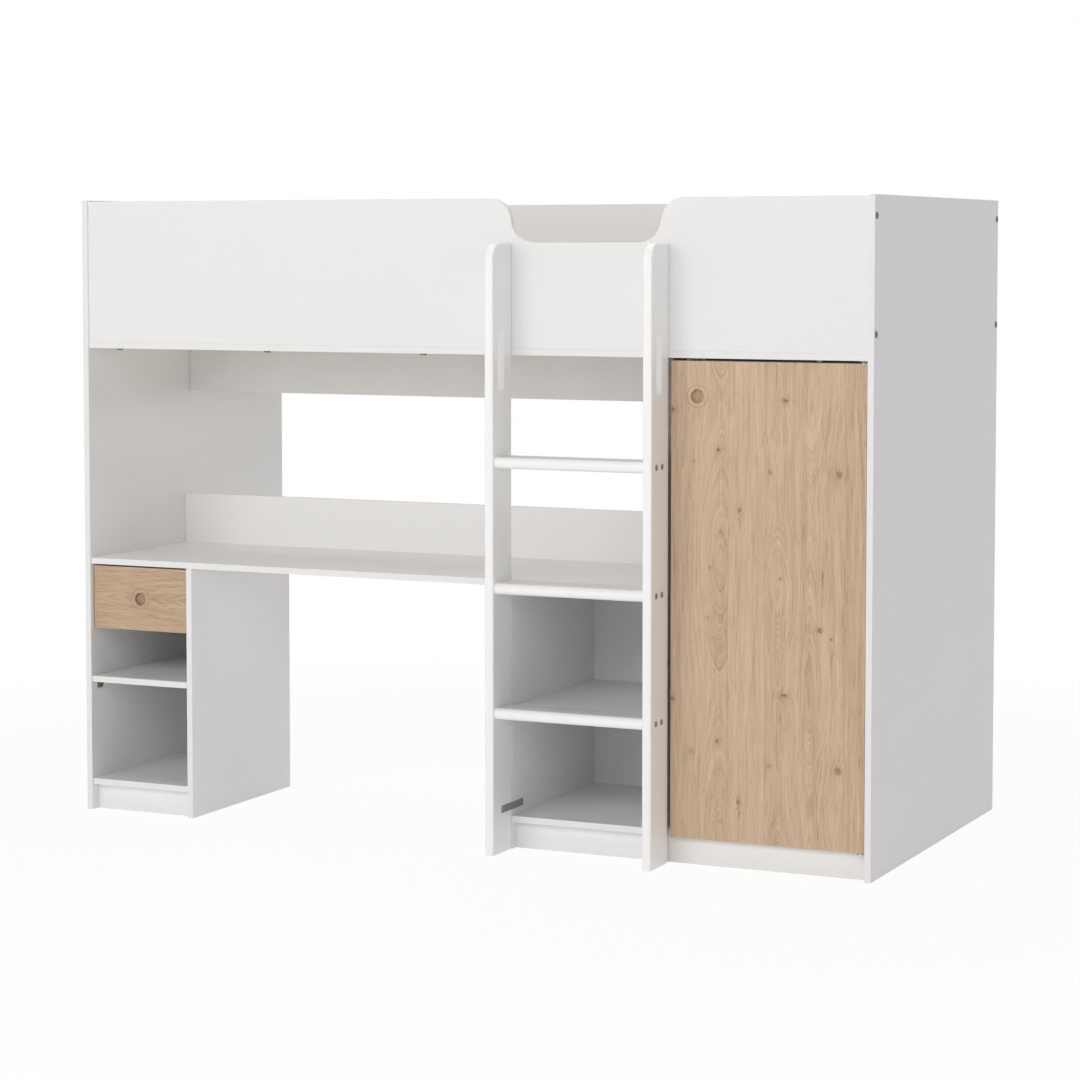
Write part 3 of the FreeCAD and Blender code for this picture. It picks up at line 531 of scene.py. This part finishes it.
PLAIN_WOOD_EARLY = rgba(0.74, 0.64, 0.49)
PLAIN_WOOD_LATE = rgba(0.56, 0.41, 0.25)
PLAIN_WOOD_ROUGHNESS = 0.62
PLAIN_WOOD_DEPTH = 0.0002
PLAIN_WOOD_RINGS = 9.0

# Steels: colour, roughness, metallic share
BURNISHED_STEEL = (rgba(0.17, 0.17, 0.18), 0.42, 0.85)
BRONZED_STEEL = (rgba(0.37, 0.345, 0.315), 0.45, 0.7)
PLATE_STEEL = (rgba(0.34, 0.335, 0.32), 0.5, 0.5)
ZINC_STEEL = (rgba(0.62, 0.62, 0.63), 0.34, 1.0)
PLATED_TUBE = (rgba(0.70, 0.70, 0.72), 0.16, 1.0)
BRUSHED_DEPTH = 0.00003
# Plastics: colour, roughness
GREY_PLASTIC = (rgba(0.13, 0.13, 0.135), 0.48)
WHITE_NYLON = (rgba(0.78, 0.78, 0.76), 0.42)
# Black of the strip above the door: painted shade
BLACK_PAINTED_SHADE = (rgba(0.018, 0.018, 0.019), 0.65)
MOULDED_DEPTH = 0.00004


def plain_wood(name, along):
    """Planed wood without a coat: yellow growth rings, darker late wood, small fibres."""
    finish = Finish(name)
    stretch = drawn_out(along, 16.0)
    ring = (finish.noise(16.0, 3.0, 0.5, stretch) * PLAIN_WOOD_RINGS).math("FRACT")
    late = ring.smooth(0.45, 0.9) - ring.smooth(*LATE_FALL)
    fibre = finish.noise(700.0, 3.0, 0.6, stretch)
    share = late * 0.45 + fibre.swing(0.5) + 0.12
    finish.set("Base Color", finish.mix(share, PLAIN_WOOD_EARLY, PLAIN_WOOD_LATE))
    finish.set("Roughness", PLAIN_WOOD_ROUGHNESS + fibre.swing(0.2))
    finish.bump(fibre * 0.6 - late * 0.4, PLAIN_WOOD_DEPTH)
    return finish.material


def metal(name, colour, roughness, metallic):
    """Plated or burnished steel: fine brushed streaks, handling marks in the gloss."""
    finish = Finish(name)
    brushed = finish.noise(1400.0, 3.0, 0.6, drawn_out(Y, 8.0))
    marks = finish.noise(90.0, 4.0, 0.6).smooth(0.5, 0.75)
    finish.set("Base Color", finish.tint(colour, 0.92 + brushed * 0.14 + marks * 0.08))
    finish.set("Metallic", metallic)
    finish.set("Roughness", roughness + brushed.swing(0.12) + marks * 0.10)
    finish.bump(brushed, BRUSHED_DEPTH)
    return finish.material


def plastic(name, colour, roughness):
    """Moulded plastic: spark-eroded grain and slight flow marks."""
    finish = Finish(name)
    grain = finish.noise(1800.0, 2.0, 0.5)
    flow = finish.noise(35.0, 3.0, 0.5)
    finish.set("Base Color", finish.tint(colour, 0.97 + flow.swing(0.06) + grain * 0.04))
    finish.set("Roughness", roughness + grain.swing(0.12))
    finish.bump(grain, MOULDED_DEPTH)
    return finish.material


# Surfaces

def surface(name, sheets, close_rows, close_columns):
    """Mesh from points (copies, rows, columns, 3): quads join neighbours both ways, round again where
    closed; coinciding points are welded, and the faces are turned so that the volume is positive."""
    copies, rows, columns, _ = sheets.shape
    row = np.arange(rows if close_rows else rows - 1)
    column = np.arange(columns if close_columns else columns - 1)
    r, c = np.meshgrid(row, column, indexing="ij")
    r_next = (r + 1) % rows
    c_next = (c + 1) % columns
    corners = (r * columns + c, r_next * columns + c, r_next * columns + c_next, r * columns + c_next)
    quads = np.stack(corners, -1).reshape(1, -1, 4)
    quads = (quads + np.arange(copies).reshape(-1, 1, 1) * rows * columns).reshape(-1, 4)
    points = sheets.reshape(-1, 3)
    rounded = np.round(points, WELD_DIGITS)
    _, first, back = np.unique(rounded, axis=0, return_index=True, return_inverse=True)
    points = points[first]
    quads = back.reshape(-1)[quads]
    a, b, c, d = (points[quads[:, i]] for i in range(4))
    volume = (np.cross(a, b) * c).sum() + (np.cross(a, c) * d).sum()
    quads = quads if volume > 0 else quads[:, ::-1]
    repeated = quads == np.roll(quads, -1, axis=1)
    doubles = repeated.sum(1)
    full = quads[doubles == 0]
    triangles = quads[doubles == 1][~repeated[doubles == 1]].reshape(-1, 3)
    mesh = bpy.data.meshes.new(name)
    mesh.from_pydata(points.tolist(), [], full.tolist() + triangles.tolist())
    mesh.polygons.foreach_set("use_smooth", np.ones(len(mesh.polygons), bool))
    mesh.set_sharp_from_angle(angle=SHARP_ANGLE)
    piece = bpy.data.objects.new(name, mesh)
    bpy.context.scene.collection.objects.link(piece)
    weighted = piece.modifiers.new("weighted", "WEIGHTED_NORMAL")
    weighted.keep_sharp = True
    return piece


def dress(piece, body, node, material):
    """Let a piece stand for a node on its body, with a finish."""
    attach(piece, body)
    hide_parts(node)
    piece.data.materials.append(material)


def arc(start, end, steps=ROUND_STEPS):
    """Angles from start to end in degrees, both ends included, as radians."""
    return np.radians(np.linspace(start, end, steps + 1))


def round_corner(centre, radius, start, end, steps=ROUND_STEPS):
    """Points of a circular arc in a plane: centre plus radius times (cos, sin)."""
    turn = arc(start, end, steps)
    return np.stack([centre[0] + radius * np.cos(turn), centre[1] + radius * np.sin(turn)], -1)


def rounded_rectangle(low, high, radius, steps=ROUND_STEPS):
    """Closed outline, anticlockwise: four quarter arcs joined by straight sides."""
    (x0, y0), (x1, y1) = low, high
    return np.concatenate([
        round_corner((x1 - radius, y0 + radius), radius, -90, 0, steps),
        round_corner((x1 - radius, y1 - radius), radius, 0, 90, steps),
        round_corner((x0 + radius, y1 - radius), radius, 90, 180, steps),
        round_corner((x0 + radius, y0 + radius), radius, 180, 270, steps),
    ])


def stacked(loops, places):
    """Rows from loops (rows, columns, 2) and the place of each: the place first, then the loop."""
    place = np.broadcast_to(np.asarray(places)[:, None, None], loops.shape[:2] + (1,))
    return np.concatenate([place, loops], -1)


def eased(radius, steps=EDGE_STEPS):
    """Pairs along an eased edge: how far a loop is drawn in, r (1 - sin t), and how far from the end it
    lies, r (1 - cos t), for t from 0 to a quarter turn."""
    turn = arc(0, 90, steps)
    return radius * (1 - np.sin(turn)), radius * (1 - np.cos(turn))


def soft_bar(low, high, radius):
    """Rows of a bar with all edges eased: the rounded outline of its shorter sides, carried along the
    longest, is drawn in near each end and closed there by a point."""
    low, high = np.array(low), np.array(high)
    along = int(np.argmax(high - low))
    across = [(along + 1) % 3, (along + 2) % 3]
    a, b = low[across], high[across]
    inset, depth = eased(radius)
    loops = np.stack([rounded_rectangle(a + i, b - i, radius - i, EDGE_STEPS) for i in inset])
    middle = np.broadcast_to((a + b) / 2, (1,) + loops.shape[1:])
    places = [low[along], *(low[along] + depth), *(high[along] - depth[::-1]), high[along]]
    rows = stacked(np.concatenate([middle, loops, loops[::-1], middle]), places)
    return np.roll(rows, along, axis=-1)


# Pieces

PLAIN_BOARDS = (
    "left_end_panel", "right_end_panel", "rear_guard_panel", "front_ledge", "rear_ledge", "centre_beam",
    "desk_top", "desk_upstand", "pedestal_side", "pedestal_shelf", "pedestal_bottom", "pedestal_plinth",
    "bookcase_side", "bookcase_shelf", "bookcase_bottom", "bookcase_plinth", "wardrobe_divider",
    "wardrobe_bottom", "wardrobe_plinth", "wardrobe_shelf",
)


def build_boards():
    """Faced boards: plain bars with hardly eased edges."""
    for node in PLAIN_BOARDS:
        piece = surface("faced_" + node, soft_bar(*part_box(node), BOARD_EDGE)[None], False, True)
        # Painted light: the right end panel takes the cooler copy of the white
        colour = MELAMINE_PAINTED_COOL_LIGHT if node == "right_end_panel" else MELAMINE
        dress(piece, "bed_frame", node, melamine(node, colour))


def build_rungs():
    """Treads: a half-round nose and softened back edges, carried straight from rail to rail."""
    for name in ("lower", "middle", "upper"):
        node = "ladder_rung_" + name
        low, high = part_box(node)
        nose = (high.z - low.z) / 2
        back = RUNG_BACK_RADIUS
        outline = np.concatenate([
            round_corner((low.y + nose, low.z + nose), nose, 90, 270, ROUND_STEPS * 4),
            round_corner((high.y - back, low.z + back), back, -90, 0),
            round_corner((high.y - back, high.z - back), back, 0, 90),
        ])
        middle = np.broadcast_to(outline.mean(0), outline.shape)
        rows = stacked(np.stack([middle, outline, outline, middle]), (low.x, low.x, high.x, high.x))
        white = lacquer("ladder_lacquer_" + name, X, high.z)
        piece = surface("tread_" + name, rows[None], False, True)
        dress(piece, "bed_frame", node, white)


def slot_reach(turn, half_length, radius):
    """Distance from the middle of an upright slot to its wall in a direction: the flat sides, then the
    round ends. The ray leaves a side at radius / |cos|, and an end circle where its equation holds."""
    cosine = np.abs(np.cos(turn))
    sine = np.abs(np.sin(turn))
    on_side = radius / np.maximum(cosine, TINY)
    on_end = half_length * sine + np.sqrt(np.maximum(radius ** 2 - (half_length * cosine) ** 2, 0.0))
    return np.where(on_side * sine <= half_length, on_side, on_end)


def rail_outline(low, high, inset):
    """Closed outline of a ladder rail in Y and Z, drawn in by an inset: a large arc at the top of the
    front edge, a small one behind it, and hardly broken corners at the foot. The straight runs are split
    into short steps so that the lines to the grip slot spread evenly."""
    y0, y1, z0, z1 = low.y + inset, high.y - inset, low.z + inset, high.z - inset
    front = RAIL_FRONT_RADIUS - inset
    rear = RAIL_REAR_RADIUS - inset / 2
    foot = RAIL_FOOT_RADIUS
    rise = np.linspace(z0 + foot, z1 - rear, RAIL_SIDE_STEPS)[1:-1]
    top = np.linspace(y1 - rear, y0 + front, RAIL_TOP_STEPS)[1:-1]
    fall = np.linspace(z1 - front, z0 + foot, RAIL_SIDE_STEPS)[1:-1]
    return np.concatenate([
        round_corner((y1 - foot, z0 + foot), foot, -90, 0, FOOT_STEPS),
        np.stack([np.full_like(rise, y1), rise], -1),
        round_corner((y1 - rear, z1 - rear), rear, 0, 90),
        np.stack([top, np.full_like(top, z1)], -1),
        round_corner((y0 + front, z1 - front), front, 90, 180, ROUND_STEPS * 3),
        np.stack([np.full_like(fall, y0), fall], -1),
        round_corner((y0 + foot, z0 + foot), foot, 180, 270, FOOT_STEPS),
    ])


def rail_rows(low, high):
    """Rows of a rail from the middle of the slot's wall over one face, round the outer edge and back:
    each row is a closed loop, either the outline drawn in or the slot drawn out."""
    centre = np.array([low.y + GRIP_INSET, low.z + GRIP_CENTRE_HEIGHT])
    half_length = (GRIP_LENGTH - GRIP_WIDTH) / 2
    edge = rail_outline(low, high, 0.0) - centre
    turn = np.arctan2(edge[:, 1], edge[:, 0])
    way = np.stack([np.cos(turn), np.sin(turn)], -1)
    grown, sunk = eased(GRIP_EDGE, ROUND_STEPS)
    inset, depth = eased(RAIL_EDGE, ROUND_STEPS)
    reach = [slot_reach(turn, half_length, GRIP_WIDTH / 2 + g)[:, None] for g in grown[::-1]]
    loops = np.stack([*(centre + way * r for r in reach), *(rail_outline(low, high, i) for i in inset)])
    places = low.x + np.concatenate([sunk[::-1], depth])
    mirrored = low.x + high.x - places
    return stacked(np.concatenate([loops[::-1], loops]), np.concatenate([places[::-1], mirrored]))


def build_rails():
    """Ladder rails: rounded all along, with a rounded grip slot through each."""
    white = lacquer("ladder_lacquer_rails", Z)
    for side in ("left", "right"):
        node = "ladder_rail_" + side
        piece = surface("stile_" + side, rail_rows(*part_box(node))[None], True, True)
        dress(piece, "bed_frame", node, white)


def scoop_height(x, middle, top, run):
    """Top edge of the front guard: level, then two equal arcs down to the entry and the same up again.
    From the floor's end the lower arc rises as r - sqrt(r2 - s2), and the upper one mirrors it."""
    away = np.abs(x - middle) - SCOOP_FLOOR_WIDTH / 2
    lower = SCOOP_RADIUS - np.sqrt(np.maximum(SCOOP_RADIUS ** 2 - np.clip(away, 0, run) ** 2, 0.0))
    rest = np.clip(2 * run - away, 0, run)
    upper = SCOOP_DROP - SCOOP_RADIUS + np.sqrt(np.maximum(SCOOP_RADIUS ** 2 - rest ** 2, 0.0))
    return top - SCOOP_DROP + np.where(away <= run, lower, upper)


def build_guard():
    """Front guard: a rounded upright section carried along the bed, its top following the scoop."""
    low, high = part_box("front_guard_panel")
    tread_low, tread_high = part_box("ladder_rung_middle")
    middle = (tread_low.x + tread_high.x) / 2
    run = math.sqrt(SCOOP_RADIUS ** 2 - (SCOOP_RADIUS - SCOOP_DROP / 2) ** 2)
    sweep = np.sin(np.linspace(0, math.asin(run / SCOOP_RADIUS), SCOOP_STEPS)) * SCOOP_RADIUS
    flank = np.concatenate([sweep, 2 * run - sweep[-2::-1]]) + SCOOP_FLOOR_WIDTH / 2
    x = np.concatenate([[low.x], middle - flank[::-1], middle + flank, [high.x]])
    fall = high.z - scoop_height(x, middle, high.z, run)
    section = rounded_rectangle((low.y, low.z), (high.y, high.z), BOARD_EDGE, EDGE_STEPS)
    upper = section[:, 1] > (low.z + high.z) / 2
    loops = np.broadcast_to(section, (len(x),) + section.shape).copy()
    loops[..., 1] -= fall[:, None] * upper
    middles = np.broadcast_to(section.mean(0), (1,) + section.shape)
    rows = stacked(np.concatenate([middles, loops, middles]), np.concatenate([x[:1], x, x[-1:]]))
    piece = surface("guard_with_scoop", rows[None], False, True)
    dress(piece, "bed_frame", "front_guard_panel", melamine("front_guard_panel"))


def build_slats():
    """Slats: flat bars with rounded edges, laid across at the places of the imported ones."""
    low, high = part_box("bed_slats")
    deck = np.empty(len(nodes["bed_slats"].data.vertices) * 3)
    nodes["bed_slats"].data.vertices.foreach_get("co", deck)
    edges = np.unique(np.round(deck[X::3], SLAT_DIGITS)).reshape(-1, 2)
    bars = np.stack([soft_bar((a, low.y, low.z), (b, high.y, high.z), SLAT_EDGE) for a, b in edges])
    piece = surface("slats", bars, False, True)
    dress(piece, "bed_frame", "bed_slats", plain_wood("planed_slats", Y))


def turned(profile, seats, axes, sides):
    """Turned copies: profile rows hold radius, height along the axis and a hexagon share; the radius of
    a hexagon row is r cos(30) / cos(angle from the middle of its side)."""
    turn = np.linspace(0, math.tau, sides, endpoint=False)
    from_side = np.mod(turn, math.pi / 3) - math.pi / 6
    hexagon = math.cos(math.pi / 6) / np.cos(from_side)
    radius = profile[:, 0:1] * (1 + profile[:, 2:3] * (hexagon - 1))
    across = np.roll(axes, 1, axis=1)
    other = np.cross(axes, across)
    out = across[:, None, None] * np.cos(turn)[:, None] + other[:, None, None] * np.sin(turn)[:, None]
    lift = axes[:, None, None] * profile[:, 1][None, :, None, None]
    return seats[:, None, None] + radius[None, :, :, None] * out + lift


def domed_screw(head_radius, head_height, length):
    """Profile of a domed socket screw from the socket's floor over the head to the tip, with height 0 at
    the top: the dome is a quarter ellipse from the socket's rim to the skirt."""
    rim = SOCKET_RADIUS * SOCKET_RIM_SHARE
    floor = -head_height * SOCKET_DEPTH_SHARE
    drop = head_height * (1 - HEAD_SKIRT_SHARE)
    turn = arc(0, 90)
    dome = np.stack([rim + (head_radius - rim) * np.sin(turn), drop * (np.cos(turn) - 1), 0 * turn], -1)
    socket = np.array([(0.0, floor, 0), (SOCKET_RADIUS, floor, 1), (SOCKET_RADIUS, -SOCKET_LIP, 1)])
    tip = -head_height - length
    shank = np.array([
        (head_radius, -head_height, 0),
        (BOLT_SHANK_RADIUS, -head_height, 0),
        (BOLT_SHANK_RADIUS, tip + BOLT_SHANK_RADIUS, 0),
        (BOLT_SHANK_RADIUS * TIP_SHARE, tip, 0),
        (0.0, tip, 0),
    ])
    return np.concatenate([socket, dome, shank])


def build_screws(name, node, profile, places, steel):
    """Screws on both outer sides: at each place in Y and Z, one from the left and one from the right."""
    low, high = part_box(node)
    seats = np.array([(x, y, z) for x in (low.x, high.x) for y, z in places])
    axes = np.repeat([(-1.0, 0.0, 0.0), (1.0, 0.0, 0.0)], len(places), axis=0)
    piece = surface(name, turned(profile, seats, axes, BOLT_SIDES), False, True)
    dress(piece, "bed_frame", node, steel)


def build_bolts(bolt_steel, screw_steel):
    """Connector bolts in the end panels and socket screws in the ladder rails."""
    low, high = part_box("end_bolts")
    inset = BOLT_HEAD_RADIUS
    places = [(y, z) for y in (low.y + inset, high.y - inset) for z in (low.z + inset, high.z - inset)]
    profile = domed_screw(BOLT_HEAD_RADIUS, BOLT_HEAD_HEIGHT, BOLT_LENGTH)
    build_screws("connector_bolts", "end_bolts", profile, places, bolt_steel)
    middles = [sum(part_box("ladder_rung_" + name), Vector()) / 2 for name in ("lower", "middle", "upper")]
    steps = (-RUNG_SCREW_PITCH / 2, RUNG_SCREW_PITCH / 2)
    places = [(middle.y + step, middle.z) for middle in middles for step in steps]
    profile = domed_screw(RUNG_SCREW_HEAD_RADIUS, RUNG_SCREW_HEAD_HEIGHT, RUNG_SCREW_LENGTH)
    build_screws("rung_socket_screws", "rung_screws", profile, places, screw_steel)


def build_front(name, body, node, pull_node, material):
    """Oak front with a round well. Lines spread from the middle of the well; the rows run from its floor
    up the wall, over the face to the outer edge, round the eased edge and to a point on the back."""
    low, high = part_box(node)
    pull_low, pull_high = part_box(pull_node)
    centre = np.array([(pull_low.x + pull_high.x) / 2, (pull_low.z + pull_high.z) / 2])
    corner, far = np.array([low.x, low.z]), np.array([high.x, high.z])
    corners = np.array([(x, z) for x in (low.x, high.x) for z in (low.z, high.z)]) - centre
    spread = np.linspace(-math.pi, math.pi, TURN_SIDES, endpoint=False)
    turn = np.sort(np.concatenate([spread, np.arctan2(corners[:, 1], corners[:, 0])]))
    way = np.stack([np.cos(turn), np.sin(turn)], -1)
    ahead = np.where(way > 0, far - centre, centre - corner)
    outer = centre + way * (ahead / np.maximum(np.abs(way), TINY)).min(-1, keepdims=True)
    radius = (pull_high.x - pull_low.x) / 2
    inset, depth = eased(FRONT_EDGE)
    edges = [np.clip(outer, corner + i, far - i) for i in inset]
    pole = np.broadcast_to(centre, way.shape)
    wall = centre + way * radius
    mouth = centre + way * (radius + WELL_EDGE)
    loops = np.stack([pole, wall, wall, mouth, *edges, *edges[::-1], pole])
    well = (pull_high.y, pull_high.y, low.y + WELL_EDGE, low.y)
    y = [*well, *(low.y + depth), *(high.y - depth[::-1]), high.y]
    rows = stacked(loops, y)[..., [1, 0, 2]]
    dress(surface(name, rows[None], False, True), body, node, material)


def build_pull(name, body, node, material):
    """Finger pull: a turned cup, its face flush in the front, rim and mouth rounded, floor flat."""
    low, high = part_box(node)
    radius = (high.x - low.x) / 2 - PULL_GAP
    depth = high.y - low.y
    centre = np.array([[(low.x + high.x) / 2, low.y, (low.z + high.z) / 2]])
    floor = (FINGER_RADIUS - FINGER_FLOOR_RADIUS, FINGER_FLOOR_RADIUS - FINGER_DEPTH)
    rows = np.concatenate([
        [(0.0, -FINGER_DEPTH)],
        round_corner(floor, FINGER_FLOOR_RADIUS, -90, 0),
        round_corner((FINGER_RADIUS + PULL_LIP, -PULL_LIP), PULL_LIP, 180, 90),
        round_corner((radius - PULL_EDGE, -PULL_EDGE), PULL_EDGE, 90, 0),
        [(radius, -depth), (0.0, -depth)],
    ])
    profile = np.concatenate([rows, np.zeros((len(rows), 1))], -1)
    cup = turned(profile, centre, np.array([[0.0, -1.0, 0.0]]), TURN_SIDES)
    dress(surface(name, cup, False, True), body, node, material)


def build_hanging_rail(steel):
    """Oval tube: the outer loop carried along the rail, then the inner loop carried back."""
    low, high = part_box("hanging_rail")
    corner, far = np.array([low.y, low.z]), np.array([high.y, high.z])
    round_end = (high.y - low.y) / 2 - TUBE_FLAT
    outer = rounded_rectangle(corner, far, round_end, TUBE_STEPS)
    inner = rounded_rectangle(corner + TUBE_WALL, far - TUBE_WALL, round_end - TUBE_WALL, TUBE_STEPS)
    rows = stacked(np.stack([outer, outer, inner, inner]), (low.x, high.x, high.x, low.x))
    piece = surface("wardrobe_tube", rows[None], True, True)
    dress(piece, "bed_frame", "hanging_rail", steel)


def build_shade_strip(painted_shade):
    """Black strip: soft bars under the front ledge, just behind the door's top, broken by the catch;
    painted shade, a dark piece put in the gap above the door where the inside lies in shade.
    """
    ledge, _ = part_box("front_ledge")
    door_low, door_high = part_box("wardrobe_door")
    catch_low, catch_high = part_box("door_catch")
    plate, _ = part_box("top_pivot_plate")
    front, top, back = door_high.y - SHADE_STRIP_CLEAR, door_high.z + SHADE_STRIP_CLEAR, door_high.y + SHADE_STRIP_WIDTH
    runs = ((door_low.x, catch_low.x - SHADE_STRIP_CLEAR), (catch_high.x + SHADE_STRIP_CLEAR, plate.x - SHADE_STRIP_CLEAR))
    bars = np.stack([soft_bar((a, front, top), (b, back, ledge.z), SHADE_STRIP_EDGE) for a, b in runs])
    piece = surface("door_shade_strip", bars, False, True)
    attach(piece, "bed_frame")
    piece.data.materials.append(painted_shade)


# Dressing

def paint(material, *names):
    """Give nodes one finish."""
    for name in names:
        nodes[name].data.materials.clear()
        nodes[name].data.materials.append(material)


def build_oak_fronts():
    """Door with upright grain, drawer front with level grain, and their pulls."""
    door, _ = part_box("wardrobe_door")
    drawer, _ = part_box("drawer_front")
    door_print = (door, X, Z, DOOR_PLANKS, DOOR_KNOTS, DOOR_SEED)
    drawer_print = (drawer, Z, X, DRAWER_PLANKS, DRAWER_KNOTS, DRAWER_SEED)
    door_oak = oak("oak_upright", *door_print)
    drawer_oak = oak("oak_level", *drawer_print)
    build_front("door_board", "door", "wardrobe_door", "door_pull", door_oak)
    build_front("drawer_board", "drawer", "drawer_front", "drawer_pull", drawer_oak)
    door_turned = oak("oak_upright_turned", *door_print, WELL_PAINTED_SHADE)
    drawer_turned = oak("oak_level_turned", *drawer_print, WELL_PAINTED_SHADE)
    build_pull("door_cup", "door", "door_pull", door_turned)
    build_pull("drawer_cup", "drawer", "drawer_pull", drawer_turned)


def dress_fittings():
    """Drawer box, thin backs and the small fittings."""
    for name in ("drawer_side_left", "drawer_side_right", "drawer_back"):
        paint(melamine(name), name)
    white_back = hardboard("white_hardboard")
    paint(white_back, "wardrobe_back", "bookcase_back", "pedestal_back", "drawer_bottom")
    paint(plain_wood("dowel_beech", X), "wood_dowels")
    dark = metal("burnished_steel", *BURNISHED_STEEL)
    bronzed = metal("bronzed_steel", *BRONZED_STEEL)
    plate = metal("plate_steel", *PLATE_STEEL)
    zinc = metal("zinc_steel", *ZINC_STEEL)
    paint(dark, "ledge_screws", "ladder_bolts", "top_pivot_plate", "catch_plate")
    paint(plate, "joining_plates", "wood_screws")
    paint(zinc, "barrel_nuts", "bottom_pivot_bracket")
    dark_plastic = plastic("grey_plastic", *GREY_PLASTIC)
    paint(dark_plastic, "shelf_pins", "hanging_rail_sockets", "door_catch")
    nylon = plastic("white_nylon", *WHITE_NYLON)
    paint(nylon, "pivot_bushes", "drawer_runner_left", "drawer_runner_right")
    # Painted shade: a black strip in the gap above the door
    build_shade_strip(plastic("black_painted_shade", *BLACK_PAINTED_SHADE))
    build_bolts(dark, bronzed)
    build_hanging_rail(metal("plated_tube", *PLATED_TUBE))


# Studio

def build_world():
    """White surroundings: even to the camera; as light on the object, bright at the horizon and fading
    towards the zenith."""
    world = bpy.data.worlds.new("studio")
    bpy.context.scene.world = world
    world.use_nodes = True
    tree = Tree(world.node_tree)
    way = tree.node("TexCoord", {}, {}, "Generated")
    lift = tree.node("SeparateXYZ", {}, {0: way}, "Z").smooth(*HORIZON_FADE)
    horizon = tree.node("Background", {}, {"Color": WHITE, "Strength": HORIZON_LIGHT})
    zenith = tree.node("Background", {}, {"Color": WHITE, "Strength": 0.0})
    light = tree.node("MixShader", {}, {0: lift, 1: horizon, 2: zenith})
    seen = tree.node("Background", {}, {"Color": WHITE, "Strength": 1.0})
    mixed = tree.node("MixShader", {}, {0: tree.background_rays(), 1: light, 2: seen})
    tree.plug(tree.tree.nodes["World Output"].inputs["Surface"], mixed)


def build_floor():
    """White floor: mostly plain white to the camera; near the object a share takes its shadow."""
    corners = np.array([(-1, -1), (1, -1), (1, 1), (-1, 1)]) * FLOOR_HALF
    mesh = bpy.data.meshes.new("floor")
    mesh.from_pydata(np.column_stack([corners, np.zeros(4)]).tolist(), [], [(0, 1, 2, 3)])
    floor = bpy.data.objects.new("floor", mesh)
    bpy.context.scene.collection.objects.link(floor)
    finish = Finish("studio_floor")
    finish.set("Base Color", rgba(FLOOR_ALBEDO, FLOOR_ALBEDO, FLOOR_ALBEDO))
    finish.set("Roughness", FLOOR_ROUGHNESS)
    finish.set("Specular IOR Level", 0.0)
    finish.set("Emission Color", WHITE)
    finish.set("Emission Strength", FLOOR_GLOW)
    x, y, _ = finish.axes
    near = 1.0 - (x * x + y * y).math("SQRT").smooth(*FLOOR_SHADOW_REACH)
    share = finish.background_rays() * (1.0 - near * FLOOR_SHADOW_SHARE)
    white = finish.node("Emission", {}, {"Color": WHITE, "Strength": 1.0})
    lit = Value(finish, finish.shader.outputs[0])
    mixed = finish.node("MixShader", {}, {0: share, 1: lit, 2: white})
    finish.plug(finish.tree.nodes["Material Output"].inputs["Surface"], mixed)
    mesh.materials.append(finish.material)


def build_lights():
    """Large soft boxes round the object, aimed at its middle."""
    for name, (power, width, height, place) in LAMPS.items():
        lamp = bpy.data.lights.new(name, "AREA")
        lamp.shape = "RECTANGLE"
        lamp.energy = power
        lamp.size = width
        lamp.size_y = height
        box = bpy.data.objects.new(name, lamp)
        box.location = place
        aim = Vector(LAMP_TARGET) - Vector(place)
        box.rotation_euler = aim.to_track_quat("-Z", "Y").to_euler()
        bpy.context.scene.collection.objects.link(box)


def build_camera():
    """Camera at the photograph's place: turned to the left, slightly down, with a small lens shift."""
    lens = bpy.data.cameras.new("camera")
    lens.lens = CAMERA_LENS
    lens.sensor_width = CAMERA_SENSOR
    lens.shift_y = CAMERA_SHIFT
    camera = bpy.data.objects.new("camera", lens)
    camera.location = CAMERA_PLACE
    camera.rotation_euler = Euler((math.pi / 2 - CAMERA_PITCH, 0.0, CAMERA_YAW))
    bpy.context.scene.collection.objects.link(camera)
    bpy.context.scene.camera = camera


build_boards()
build_guard()
build_rails()
build_rungs()
build_slats()
build_oak_fronts()
dress_fittings()
build_world()
build_floor()
build_lights()
build_camera()
bpy.context.scene.view_settings.view_transform = "Standard"
